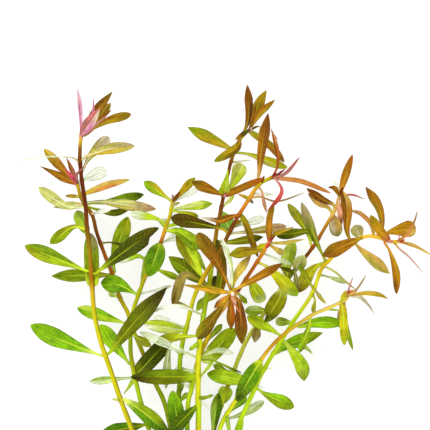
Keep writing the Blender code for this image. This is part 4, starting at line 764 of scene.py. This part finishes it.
def addLeaf(bm, layers, leaf):
    form = leafForm
    rng = random.Random("leaf " + leaf["name"])
    middle, sides = leaf["middle"], leaf["side"]
    if np.linalg.norm(leaf["root"] - middle[0]) > form["rootGap"]:
        middle = np.vstack([leaf["root"], middle])
        sides = np.vstack([sides[0], sides])
    run = runAlong(middle)
    length = run[-1]
    x = np.linspace(0, 1, form["rows"] if length > form["smallLength"] else form["smallRows"])
    first = form["firstRow"] / length
    s = np.concatenate([[0], first + (1 - first) * (1 - (1 - x) ** form["crowding"])])
    path = pointsAt(s, np.linspace(0, 1, form["samples"]), smoothRoute(middle, form["samples"]))
    tangent = unit(np.gradient(path, axis=0))
    turn = leaf["turn"] + form["twist"] * rng.uniform(-1, 1) * smoothStep(*form["twisting"], s)
    planSide = pointsAt(s * length, run, sides)
    side = np.column_stack([planSide * np.cos(turn)[:, None], np.sin(turn)])
    side = unit(side - tangent * np.sum(side * tangent, axis=1)[:, None])
    up = np.cross(tangent, side)

    width = leaf["width"] / math.cos(leaf["turn"])
    flare = 1 + form["stalkFlare"] * np.exp(-s * length / form["flareLength"])
    stalk = min(form["stalkHalf"], form["stalkShare"] * width) * flare * (1 - s ** 5)
    half = ((0.5 * width * outlineShare(leaf, s, width)) ** 4 + stalk ** 4) ** 0.25
    half[-1] = 0

    u = np.array(form["across"][::-1] + form["across"][1:])
    top = np.arange(len(u)) < len(form["across"])
    reach = half[:, None] * u[None, :]
    if leaf["name"] in bites:
        biteSide, at, depth = bites[leaf["name"]]
        bite = depth * smoothStep(at, at + form["biteLength"], s)
        reach *= np.where(u[None, :] * biteSide > 0, 1 - bite[:, None] * abs(u[None, :]), 1)
    away = abs(reach)
    fold = rng.uniform(*form["fold"]) * (1 - form["tipFold"] * s[:, None])
    rise = fold * (np.sqrt(away ** 2 + form["foldRound"]) - math.sqrt(form["foldRound"]))
    rise = rise + form["bulge"] * half[:, None] * 4 * abs(u) * (1 - abs(u))
    waves, start, shift = (rng.uniform(*form[part]) for part in ("waves", "waveStart", "waveShift"))
    swing = s[:, None] * waves + start + np.sign(u) * shift
    rise = rise + form["wave"] * half[:, None] * abs(u) ** 3 * np.sin(swing)
    thick = form["bladeThick"] + (form["stalkThick"] - form["bladeThick"]) * (
        1 - smoothStep(*form["thickening"], s)) + (form["tipThick"] - form["bladeThick"]) * s ** 3
    thick = np.minimum(thick, form["mostThick"] * width)
    lens = 0.5 * thick[:, None] * np.sqrt(np.clip(1 - u ** 2, 0, 1))[None, :]
    size = np.clip(half / form["ribbedHalf"], 0, 1)[:, None]
    groove = form["groove"] * size * np.exp(-(away / form["grooveHalf"]) ** 2)
    ridge = form["ridge"] * size * np.exp(-(away / form["ridgeHalf"]) ** 2) * (1 - s[:, None])
    lift = np.where(top[None, :], rise + lens - groove, rise - lens - ridge)
    for end in (0, -1):
        lift[end] = 0
    reach[0] = 0
    spots = path[:, None, :] + side[:, None, :] * reach[..., None] + up[:, None, :] * lift[..., None]

    ramp = leafTones(leaf, s, u)
    seed = rng.random()
    narrow, more = form["ribGrowth"]
    ribHalf = form["ribHalf"] * min(1.0, max(form["leastRib"], (width - narrow) / more))
    for vert, column, row in gridSpots(bm, len(u) - 1, len(s) - 1):
        vert.co = toPlace(spots[row, column])
        vert[layers["tone"]] = (*ramp[row, column], seed)
        vert[layers["place"]] = (reach[row, column], s[row] * length, s[row])
        vert[layers["nature"]] = (abs(u[column]), ribHalf, float(not top[column]))


# A node tree that is being drawn
class Sketch:
    def __init__(self, tree):
        self.tree = tree

    def node(self, kind, *values, **settings):
        node = self.tree.nodes.new("ShaderNode" + kind)
        for name, value in settings.items():
            setattr(node, name, value)
        for value, socket in zip(values, node.inputs):
            self.feed(value, socket)
        return node

    def feed(self, value, socket):
        if isinstance(value, bpy.types.NodeSocket):
            self.tree.links.new(value, socket)
        elif isinstance(value, (tuple, np.ndarray)) and len(socket.default_value) == 4:
            socket.default_value = (*value[:3], 1)
        else:
            socket.default_value = value

    def math(self, operation, *values):
        return self.node("Math", *values, operation=operation).outputs[0]

    def times(self, first, second):
        return self.math("MULTIPLY", first, second)

    def plus(self, first, second):
        return self.math("ADD", first, second)

    def minus(self, first, second):
        return self.math("SUBTRACT", first, second)

    def ramp(self, value, low, high, start=0.0, end=1.0):
        return self.node("MapRange", value, low, high, start, end,
                         interpolation_type="SMOOTHSTEP").outputs[0]

    def mix(self, share, first, second, way="MIX"):
        node = self.node("Mix", share, data_type="RGBA", blend_type=way)
        self.feed(first, node.inputs[6])
        self.feed(second, node.inputs[7])
        return node.outputs[2]

    def noise(self, vector, scale, detail=3.0, roughness=0.55):
        node = self.node("TexNoise")
        wanted = {"Vector": vector, "Scale": scale, "Detail": detail, "Roughness": roughness}
        for name, value in wanted.items():
            self.feed(value, node.inputs[name])
        return node.outputs["Fac"]

    def parts(self, vector):
        return self.node("SeparateXYZ", vector).outputs

    def vector(self, x, y, z):
        return self.node("CombineXYZ", x, y, z).outputs[0]

    def shaded(self, colour, shade):
        return self.mix(1.0, colour, self.vector(shade, shade, shade), "MULTIPLY")

    def objectPlace(self):
        return self.node("TexCoord").outputs["Object"]

    def attribute(self, name, output="Vector"):
        return self.node("Attribute", attribute_name=name).outputs[output]

    def finish(self, shader, colour, roughness, height, strength, distance):
        raised = self.node("Bump")
        for name, value in (("Strength", strength), ("Distance", distance), ("Height", height)):
            self.feed(value, raised.inputs[name])
        self.feed(colour, shader.inputs["Base Color"])
        self.feed(roughness, shader.inputs["Roughness"])
        self.feed(raised.outputs["Normal"], shader.inputs["Normal"])


def newGroup(name, inputs, outputs):
    group = bpy.data.node_groups.new(name, "ShaderNodeTree")
    kinds = {"colour": "NodeSocketColor", "vector": "NodeSocketVector", "value": "NodeSocketFloat"}
    for way, sockets in (("INPUT", inputs), ("OUTPUT", outputs)):
        for kind, labels in sockets.items():
            for label in labels:
                group.interface.new_socket(name=label, in_out=way, socket_type=kinds[kind])
    entry, leave = (group.nodes.new("NodeGroup" + way) for way in ("Input", "Output"))
    return Sketch(group), entry.outputs, leave.inputs


def newMaterial(name):
    made = bpy.data.materials.new(name)
    made.use_nodes = True
    return made, Sketch(made.node_tree), made.node_tree.nodes["Principled BSDF"]


# Most of a noise lies within the wide span, its middle half within the close one
wideSpan, closeSpan = (0.3, 0.7), (0.35, 0.65)

# The surface of a blade, in millimetres across and along it
leafPattern = {
    "ribEdges": (0.35, 1.5), "ribFades": (0.4, 0.88), "veinWarp": 2.2, "veinLean": 1.15,
    "veinCount": 3.4, "veinStart": (0.25, 0.7), "margin": 0.84, "marginShade": 0.22,
    "mottle": 420.0, "grain": 3600.0, "sheerLines": 15.7, "sheerCover": (0.22, 0.8),
    "warp": (0.5, 0.35), "streak": (1.6, 0.22), "veinLine": (0.6, 1.0), "veinEnd": (0.75, 1.0),
    "streakShade": (0.7, 1.24), "mottleShade": (-0.15, 0.15), "grainShade": (-0.05, 0.05),
    "flushPlace": (0.35, 1.0), "flushMottle": (0.42, 0.62), "marginFlush": 1.2,
    "sheerWidth": (0.2, 1.0), "roughness": (0.38, 0.52), "underRoughness": 0.14,
    "grainHeight": 0.5, "veinDepth": 0.9, "streakHeight": 0.8,
}


def leafPatternGroup():
    net, given, result = newGroup(
        "leafPattern",
        {"colour": ("Tone", "Rib Colour", "Flush Colour", "Under Colour"),
         "vector": ("Place", "Nature", "Object"),
         "value": ("Seed", "Rib Strength", "Vein Strength", "Flush Amount", "Under Amount")},
        {"colour": ("Colour",), "value": ("Roughness", "Height", "Cover")})
    form = leafPattern
    across, along, share = net.parts(given["Place"])
    edge, ribHalf, under = net.parts(given["Nature"])
    away = net.math("ABSOLUTE", across)
    narrow, wide = (net.times(ribHalf, factor) for factor in form["ribEdges"])
    rib = net.times(net.ramp(away, narrow, wide, 1.0, 0.0),
                    net.ramp(share, *form["ribFades"], 1.0, 0.0))
    shift = net.times(given["Seed"], 37.0)
    warpSpot, streakSpot = (net.vector(net.times(across, wide), net.times(along, far), shift)
                            for wide, far in (form["warp"], form["streak"]))
    warp = net.noise(warpSpot, 1.0)
    phase = net.minus(net.plus(along, net.times(warp, form["veinWarp"])),
                      net.times(away, form["veinLean"]))
    vein = net.ramp(net.math("COSINE", net.times(phase, form["veinCount"])), *form["veinLine"])
    vein = net.times(vein, net.ramp(away, *form["veinStart"]))
    vein = net.times(vein, net.ramp(edge, *form["veinEnd"], 1.0, 0.0))
    streak = net.noise(streakSpot, 1.0, 4.0, 0.65)
    mottle = net.noise(given["Object"], form["mottle"], 4.0, 0.6)
    grain = net.noise(given["Object"], form["grain"], 2.0, 0.5)
    margin = net.ramp(edge, form["margin"], 1.0)
    shade = net.plus(net.ramp(streak, *wideSpan, *form["streakShade"]),
                     net.ramp(mottle, *closeSpan, *form["mottleShade"]))
    shade = net.plus(shade, net.ramp(grain, *wideSpan, *form["grainShade"]))
    shade = net.times(shade, net.minus(1.0, net.times(margin, form["marginShade"])))
    colour = net.shaded(given["Tone"], shade)
    spread = net.times(net.ramp(share, *form["flushPlace"]),
                       net.ramp(mottle, *form["flushMottle"]))
    flush = net.math("MAXIMUM", spread, net.times(margin, form["marginFlush"]))
    for amount, strength, other in (
            (flush, "Flush Amount", "Flush Colour"), (vein, "Vein Strength", "Rib Colour"),
            (under, "Under Amount", "Under Colour"), (rib, "Rib Strength", "Rib Colour")):
        colour = net.mix(net.times(amount, given[strength]), colour, given[other])
    net.feed(colour, result["Colour"])
    lines = net.ramp(net.math("COSINE", net.times(edge, form["sheerLines"])), *form["sheerWidth"])
    cover = net.math("MAXIMUM", net.math("MAXIMUM", lines, margin), rib)
    net.feed(net.ramp(cover, 0.0, 1.0, *form["sheerCover"]), result["Cover"])
    net.feed(net.plus(net.ramp(streak, *wideSpan, *form["roughness"]),
                      net.times(under, form["underRoughness"])), result["Roughness"])
    height = net.minus(net.times(grain, form["grainHeight"]), net.times(vein, form["veinDepth"]))
    net.feed(net.plus(height, net.times(streak, form["streakHeight"])), result["Height"])
    return net.tree


def newFinish(name, group, place, values, specular=0.06, bump=0.35, reach=0.00012, sheer=False):
    made, net, shader = newMaterial(name)
    node = net.tree.nodes.new("ShaderNodeGroup")
    node.node_tree = group
    read = {"Tone": ("tone", "Color"), "Seed": ("tone", "Alpha"), "Place": (place, "Vector"),
            "Nature": ("leafNature", "Vector")}
    for socket in node.inputs:
        if socket.name == "Object":
            net.feed(net.objectPlace(), socket)
        elif socket.name in read:
            net.feed(net.attribute(*read[socket.name]), socket)
        else:
            net.feed(values[socket.name], socket)
    net.finish(shader, *(node.outputs[part] for part in ("Colour", "Roughness", "Height")),
               bump, reach)
    if sheer:
        net.feed(node.outputs["Cover"], shader.inputs["Alpha"])
    shader.inputs["Specular IOR Level"].default_value = specular
    return made


# A finish: rib and vein tone, their strengths, flush tone and amount, tone and amount below
leafFinishes = {
    "greenLeaf": ("ribGreen", 0.8, 0.14, "olive", 0.3, "greyGreen", 0.4),
    "darkLeaf": ("oliveLime", 0.7, 0.1, "darkBrown", 0.35, "greyGreen", 0.4),
    "bronzeLeaf": ("amber", 0.4, 0.12, "redBrown", 0.35, "salmon", 0.4),
    "roseLeaf": ("palePink", 0.5, 0.15, "darkRed", 0.25, "palePink", 0.5),
    "paleLeaf": ("cream", 0.55, 0.1, "greyTan", 0.25, "silver", 0.5),
    "sheerLeaf": ("ghostLine", 0.6, 0.5, "ghostLine", 0.5, "silver", 0.3),
}


def makeLeafFinishes():
    group = leafPatternGroup()
    labels = ("Rib Colour", "Rib Strength", "Vein Strength", "Flush Colour", "Flush Amount",
              "Under Colour", "Under Amount")
    made = {}
    for name, look in leafFinishes.items():
        values = {label: toneColour(value) if isinstance(value, str) else value
                  for label, value in zip(labels, look)}
        made[name] = newFinish(name, group, "leafPlace", values, sheer=name == "sheerLeaf")
    return made


# Bark. gain lifts it, because its round sides turn from the light; a finish has the amount of
# streaks, the tone of the redder side and its amount. The redder side is partly the stem's own red
# and partly painted shade along that edge
barkForm = {
    "gain": 1.1, "patch": 260.0, "fineShade": (-0.07, 0.07), "redSideFacing": (0.15, 0.85),
    "redSidePatch": (0.55, 1.0), "roughness": (0.32, 0.46), "streakHeight": 0.7,
    "young": (0.18, "redBrown", 0.55), "old": (0.3, "brown", 0.35),
}


def barkPatternGroup():
    net, given, result = newGroup(
        "barkPattern",
        {"colour": ("Tone", "Red Side Colour"), "vector": ("Place", "Object"),
         "value": ("Seed", "Streak Amount", "Red Side Amount")},
        {"colour": ("Colour",), "value": ("Roughness", "Height")})
    turnX, turnY, along = net.parts(given["Place"])
    shift = net.plus(net.times(along, 0.09), net.times(given["Seed"], 11.0))
    streak = net.noise(net.vector(net.times(turnX, 1.6), net.times(turnY, 1.6), shift), 2.2, 4.0, 0.6)
    fine = net.noise(net.vector(net.times(turnX, 5.0), net.times(turnY, 5.0), net.times(along, 0.5)),
                     1.6, 3.0, 0.6)
    patch = net.noise(given["Object"], barkForm["patch"])
    shade = net.plus(barkForm["gain"], net.times(given["Streak Amount"],
                                                 net.ramp(streak, *wideSpan, -1.0, 1.0)))
    shade = net.plus(shade, net.ramp(fine, *wideSpan, *barkForm["fineShade"]))
    colour = net.shaded(given["Tone"], shade)
    # One side of each stem is painted redder and darker: partly the stem's own red, partly painted shade
    # along that edge.
    facing = net.times(turnX, net.minus(net.times(given["Seed"], 2.0), 1.0))
    redSide = net.times(net.ramp(facing, *barkForm["redSideFacing"]),
                      net.ramp(patch, *closeSpan, *barkForm["redSidePatch"]))
    net.feed(net.mix(net.times(redSide, given["Red Side Amount"]), colour, given["Red Side Colour"]),
             result["Colour"])
    net.feed(net.ramp(fine, *wideSpan, *barkForm["roughness"]), result["Roughness"])
    net.feed(net.plus(net.times(streak, barkForm["streakHeight"]), fine), result["Height"])
    return net.tree


def newBark(name, group, look, **surface):
    streaks, tone, amount = look
    return newFinish(name, group, "barkPlace", {
        "Streak Amount": streaks, "Red Side Colour": toneColour(tone), "Red Side Amount": amount}, **surface)


# Stems, in millimetres
stemForm = {
    "sides": 16, "step": 0.55, "nodeSwell": 0.24, "nodeLength": 0.8, "rough": 0.035,
    "footRun": 1.3, "tipRun": 0.8, "footRound": 0.5, "tipRound": 0.8, "bumps": 5,
    "waves": (0.2, 1.1), "waveStart": (0, 6), "waveTurns": (1, 3), "wavesHigh": 2.2, "nib": 0.02,
}


def stemPath(shoot, letter):
    pts = readPoints(shoot["route"], 3)
    back = pts[0] - pts[1]
    if letter != "r":
        pts = np.vstack([pts[0] + back / np.linalg.norm(back) * stemForm["footRun"], pts])
    ahead = pts[-1] - pts[-2]
    pts = np.vstack([pts, pts[-1] + ahead / np.linalg.norm(ahead) * stemForm["tipRun"]])
    line = smoothRoute(pts, max(8, round(runAlong(pts)[-1] / stemForm["step"])))
    return line, np.linspace(*shoot["radii"], len(line))


def newLayers(bm, *others):
    layers = {"tone": bm.verts.layers.float_color.new("tone")}
    for key, name in others:
        layers[key] = bm.verts.layers.float_vector.new(name)
    return layers


# A round skin along a line; ringLook gives the radius and the tone at a row and an angle
def addSkin(bm, line, sides, ringLook):
    layers = newLayers(bm, ("bark", "barkPlace"))
    tangent = unit(np.gradient(line, axis=0))
    side = unit(np.cross(tangent, (0, 0, 1.0)))
    up = np.cross(side, tangent)
    run = runAlong(line)
    for vert, column, row in gridSpots(bm, sides, len(line) - 1):
        angle = 2 * np.pi * column / sides
        radius, tone = ringLook(row, angle, run)
        spot = line[row] + radius * (side[row] * math.cos(angle) + up[row] * math.sin(angle))
        spot[2] = max(spot[2], plan["lowest"])
        vert.co = toPlace(spot)
        vert[layers["tone"]] = tone
        vert[layers["bark"]] = (math.cos(angle), math.sin(angle), run[row])


def barkColours(line, stops):
    places, words = zip(*(stop.split() for stop in stops.split(",")))
    shades = np.array([toneColour(word) for word in words])
    return pointsAt(line[:, 1], np.array(places, float), shades)


def newObject(name, data):
    made = bpy.data.objects.new(name, data)
    bpy.context.scene.collection.objects.link(made)
    return made


def newMesh(bm, name, *materials):
    mesh = bpy.data.meshes.new(name)
    bm.to_mesh(mesh)
    bm.free()
    for made in materials:
        mesh.materials.append(made)
    return newObject(name, mesh)


def finishPiece(bm, name, materials, node):
    piece = newMesh(bm, name, *materials)
    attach(piece, "root")
    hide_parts(node)


def makeStem(letter, shoot, leaves, finish):
    line, radii = stemPath(shoot, letter)
    swell = np.zeros(len(line))
    for spot in (leaf["root"] for leaf in leaves if leaf["letter"] == letter):
        gap = np.linalg.norm(line - spot, axis=1)
        swell = np.maximum(swell, np.exp(-(gap / stemForm["nodeLength"]) ** 2))
    radii = radii * (1 + stemForm["nodeSwell"] * swell)
    colours = barkColours(line, shoot["bark"])
    rng = random.Random("stem " + letter)
    waves = [(rng.uniform(*stemForm["waves"]), rng.uniform(*stemForm["waveStart"]),
              rng.randint(*stemForm["waveTurns"])) for _ in range(stemForm["bumps"])]

    def ringLook(row, angle, run):
        foot, tip = (far + stemForm["nib"] for far in (run[row], run[-1] - run[row]))
        end = min(1, math.sqrt(foot / stemForm["footRound"])) * min(
            1, math.sqrt(tip / stemForm["tipRound"]))
        bump = sum(math.sin(run[row] * f + phase + turns * angle) for f, phase, turns in waves)
        radius = radii[row] * end * (1 + stemForm["rough"] * bump / stemForm["wavesHigh"])
        return 0 if row in (0, len(line) - 1) else radius, (*colours[row], shoot["warmSide"])

    bm = bmesh.new()
    addSkin(bm, line, stemForm["sides"], ringLook)
    bmesh.ops.recalc_face_normals(bm, faces=bm.faces)
    finishPiece(bm, "shoot_" + letter, [finish], "stem_" + letter)


def readBud(name, route, width, words):
    pts = readPoints(route, 3)
    middle = smoothRoute(pts, lay["sections"])
    along = unit(np.gradient(middle[:, :2], axis=0))
    return {"name": name, "width": float(width), "tones": readWords(words), "turn": 0.5,
            "root": middle[0], "middle": middle, "side": np.column_stack([-along[:, 1], along[:, 0]])}


# One piece of one or more leaves; each face gets the place of its leaf's finish in the list
def makeLeaves(name, leaves, finishes, node):
    kinds = list(finishes) if len(leaves) > 1 else [leafFinish(leaves[0])]
    bm = bmesh.new()
    layers = newLayers(bm, ("place", "leafPlace"), ("nature", "leafNature"))
    for leaf in leaves:
        before = set(bm.faces)
        addLeaf(bm, layers, leaf)
        for face in set(bm.faces) - before:
            face.material_index = kinds.index(leafFinish(leaf))
    bmesh.ops.recalc_face_normals(bm, faces=bm.faces)
    finishPiece(bm, name, [finishes[kind] for kind in kinds], node)


# The basal stem that all the shoots leave, cut off square at its lower end
basalStem = {
    "line": [(-9, -52, 1.9), (-9, -44, 2.0), (-9, -35, 2.8), (-9, -27, 4.6)],
    "radius": 2.1, "endRadius": 1.68, "sides": 28, "rings": 64, "endRound": 1.4,
    "joints": (-50.2, -44.4, -37.9, -31, -26.6),   # plan y of the rings where shoots leave
    "tone": "moss", "old": "brown", "flutes": ((0.02, 6, 0.05), (0.012, 13, 1.0)), "ring": 0.06,
    "cutSteps": ((0.18, 0.0), (0.75, -0.06), (0.5, -0.12)),   # how far in and how deep
    "ringWidth": 0.5, "ringOld": 0.55, "footOld": 0.25, "oldRun": 4, "warmSide": 0.6,
    "cutY": -51.9, "pith": (0.0006, 0.0019), "sponge": 4200.0,
}


def makeBasalStem(finish, cutFinish):
    form = basalStem
    line = smoothRoute(form["line"], form["rings"])
    level = np.linalg.norm(unit(np.gradient(line, axis=0))[:, :2], axis=1)
    radii = np.linspace(form["radius"], form["endRadius"], len(line)) * level
    green, old = toneColour(form["tone"]), toneColour(form["old"])

    def ringLook(row, angle, run):
        ring = max(math.exp(-((line[row][1] - y) / form["ringWidth"]) ** 2) for y in form["joints"])
        flute = sum(deep * math.cos(count * angle + along * run[row] - (count > 6) * math.pi / 2)
                    for deep, count, along in form["flutes"])
        closing = min(1.0, math.sqrt((run[-1] - run[row] + 0.01) / form["endRound"]))
        radius = radii[row] * (1 + flute + form["ring"] * ring) * closing
        mix = form["ringOld"] * ring + form["footOld"] * math.exp(-run[row] / form["oldRun"])
        tone = green * (1 - mix) + old * mix
        return 0 if row == len(line) - 1 else radius, (*tone, form["warmSide"])

    bm = bmesh.new()
    addSkin(bm, line, form["sides"], ringLook)
    rim = [edge for edge in bm.edges if edge.is_boundary]
    cut = bmesh.ops.contextual_create(bm, geom=rim)["faces"]
    for size, depth in form["cutSteps"]:
        bmesh.ops.inset_individual(bm, faces=cut, thickness=size * plan["metre"],
                                   depth=depth * plan["metre"])
    for face in bm.faces:
        face.smooth = True
    bmesh.ops.recalc_face_normals(bm, faces=bm.faces)
    for face in bm.faces:
        if face.calc_center_median().y < toPlace((0, form["cutY"], 0)).y and abs(face.normal.y) > 0.6:
            face.material_index = 1
            face.smooth = False
    finishPiece(bm, "basalStem", [finish, cutFinish], "crown")


def cutFinish():
    made, net, shader = newMaterial("cutFace")
    where = net.objectPlace()
    far = net.node("VectorMath", where, toPlace(basalStem["line"][0]), operation="DISTANCE")
    share = net.ramp(far.outputs["Value"], *basalStem["pith"])
    spongy = net.noise(where, basalStem["sponge"], 3.0, 0.6)
    colour = net.mix(share, toneColour("cream"), toneColour("lime"))
    colour = net.mix(net.ramp(spongy, 0.45, 0.65, 0.0, 0.5), colour, toneColour("tan"))
    net.finish(shader, colour, net.ramp(spongy, *wideSpan, 0.55, 0.75), spongy, 0.6, 0.0002)
    return made


# Floor, light and camera. A sun: azimuth and elevation in degrees, strength, width in degrees
studio = {
    "floorSize": 14.0, "floor": 0.5, "floorGlow": 0.58, "ambient": 0.72, "glossAmbient": 0.1,
    "suns": [(-50, 52, 1.48, 30), (60, 50, 0.45, 50), (150, 48, 0.4, 60), (-140, 48, 0.4, 60)],
    "frame": (-3.9, 41.05), "frameWidth": 150.5, "height": 4000, "level": 20, "sensor": 36.0,
    "clip": (0.1, 100), "floorRough": 0.9,
}


def makeStudio():
    pale, _, shader = newMaterial("paleFloor")
    for name, value in (("Base Color", (studio["floor"],) * 3 + (1,)), ("Roughness", studio["floorRough"]),
                        ("Specular IOR Level", 0.0), ("Emission Color", (1, 1, 1, 1)),
                        ("Emission Strength", studio["floorGlow"])):
        shader.inputs[name].default_value = value
    bm = bmesh.new()
    bmesh.ops.create_grid(bm, x_segments=2, y_segments=2, size=studio["floorSize"] / 2)
    newMesh(bm, "floor", pale)
    for k, (azimuth, elevation, strength, spread) in enumerate(studio["suns"]):
        light = bpy.data.lights.new(f"sun{k}", "SUN")
        light.energy = strength
        light.angle = math.radians(spread)
        a, e = math.radians(azimuth), math.radians(elevation)
        towards = Vector((math.sin(a) * math.cos(e), math.cos(a) * math.cos(e), math.sin(e)))
        newObject(f"sun{k}", light).rotation_euler = towards.to_track_quat("Z", "Y").to_euler()
    world = bpy.data.worlds.new("studio")
    world.use_nodes = True
    net = Sketch(world.node_tree)
    sky = world.node_tree.nodes["Background"]
    level = net.node("MapRange", net.node("LightPath").outputs["Is Glossy Ray"], 0.0, 1.0,
                     studio["ambient"], studio["glossAmbient"])
    net.feed(level.outputs[0], sky.inputs["Strength"])
    sky.inputs["Color"].default_value = (1, 1, 1, 1)
    bpy.context.scene.world = world


def makeCamera():
    data = bpy.data.cameras.new("camera")
    metre = plan["metre"]
    distance = (studio["height"] - studio["level"]) * metre
    data.sensor_width = studio["sensor"]
    data.lens = studio["sensor"] * distance / (studio["frameWidth"] * metre)
    data.clip_start, data.clip_end = studio["clip"]
    camera = newObject("camera", data)
    camera.location = Vector((*studio["frame"], studio["height"])) * metre
    bpy.context.scene.camera = camera
    bpy.context.scene.view_settings.view_transform = "Standard"


makeCamera()
makeStudio()
print("studio and camera made")

lines = {letter: stemLine(shoots[letter]) for letter in sorted(shoots)}
leaves = [readLeaf(*row) for shoot in shoots.values() for row in readRows(shoot["leaves"])]
for leaf in leaves:
    planBlade(leaf, *lines[leaf["letter"]])
settleBlades(leaves, lines)
print("blades settled:", len(leaves))

leafMaterials = makeLeafFinishes()
barkGroup = barkPatternGroup()
bark = newBark("shootBark", barkGroup, barkForm["young"])
oldBark = newBark("basalBark", barkGroup, barkForm["old"], specular=0.15, bump=0.6, reach=0.0003)
for leaf in leaves:
    if leaf["name"] in ownLeaves:
        makeLeaves("blade_" + leaf["name"], [leaf], leafMaterials, "leaf_" + leaf["name"])
print("single leaves made:", len(ownLeaves))
for letter, shoot in shoots.items():
    makeStem(letter, shoot, leaves, bark)
    small = [leaf for leaf in leaves if leaf["letter"] == letter and leaf["name"] not in ownLeaves]
    small += [readBud(*row) for row in readRows(shoot["buds"])]
    makeLeaves("smallLeaves_" + letter, small, leafMaterials, "stem_" + letter)
print("shoots made:", len(shoots))
makeBasalStem(oldBark, cutFinish())
print("basal stem made")
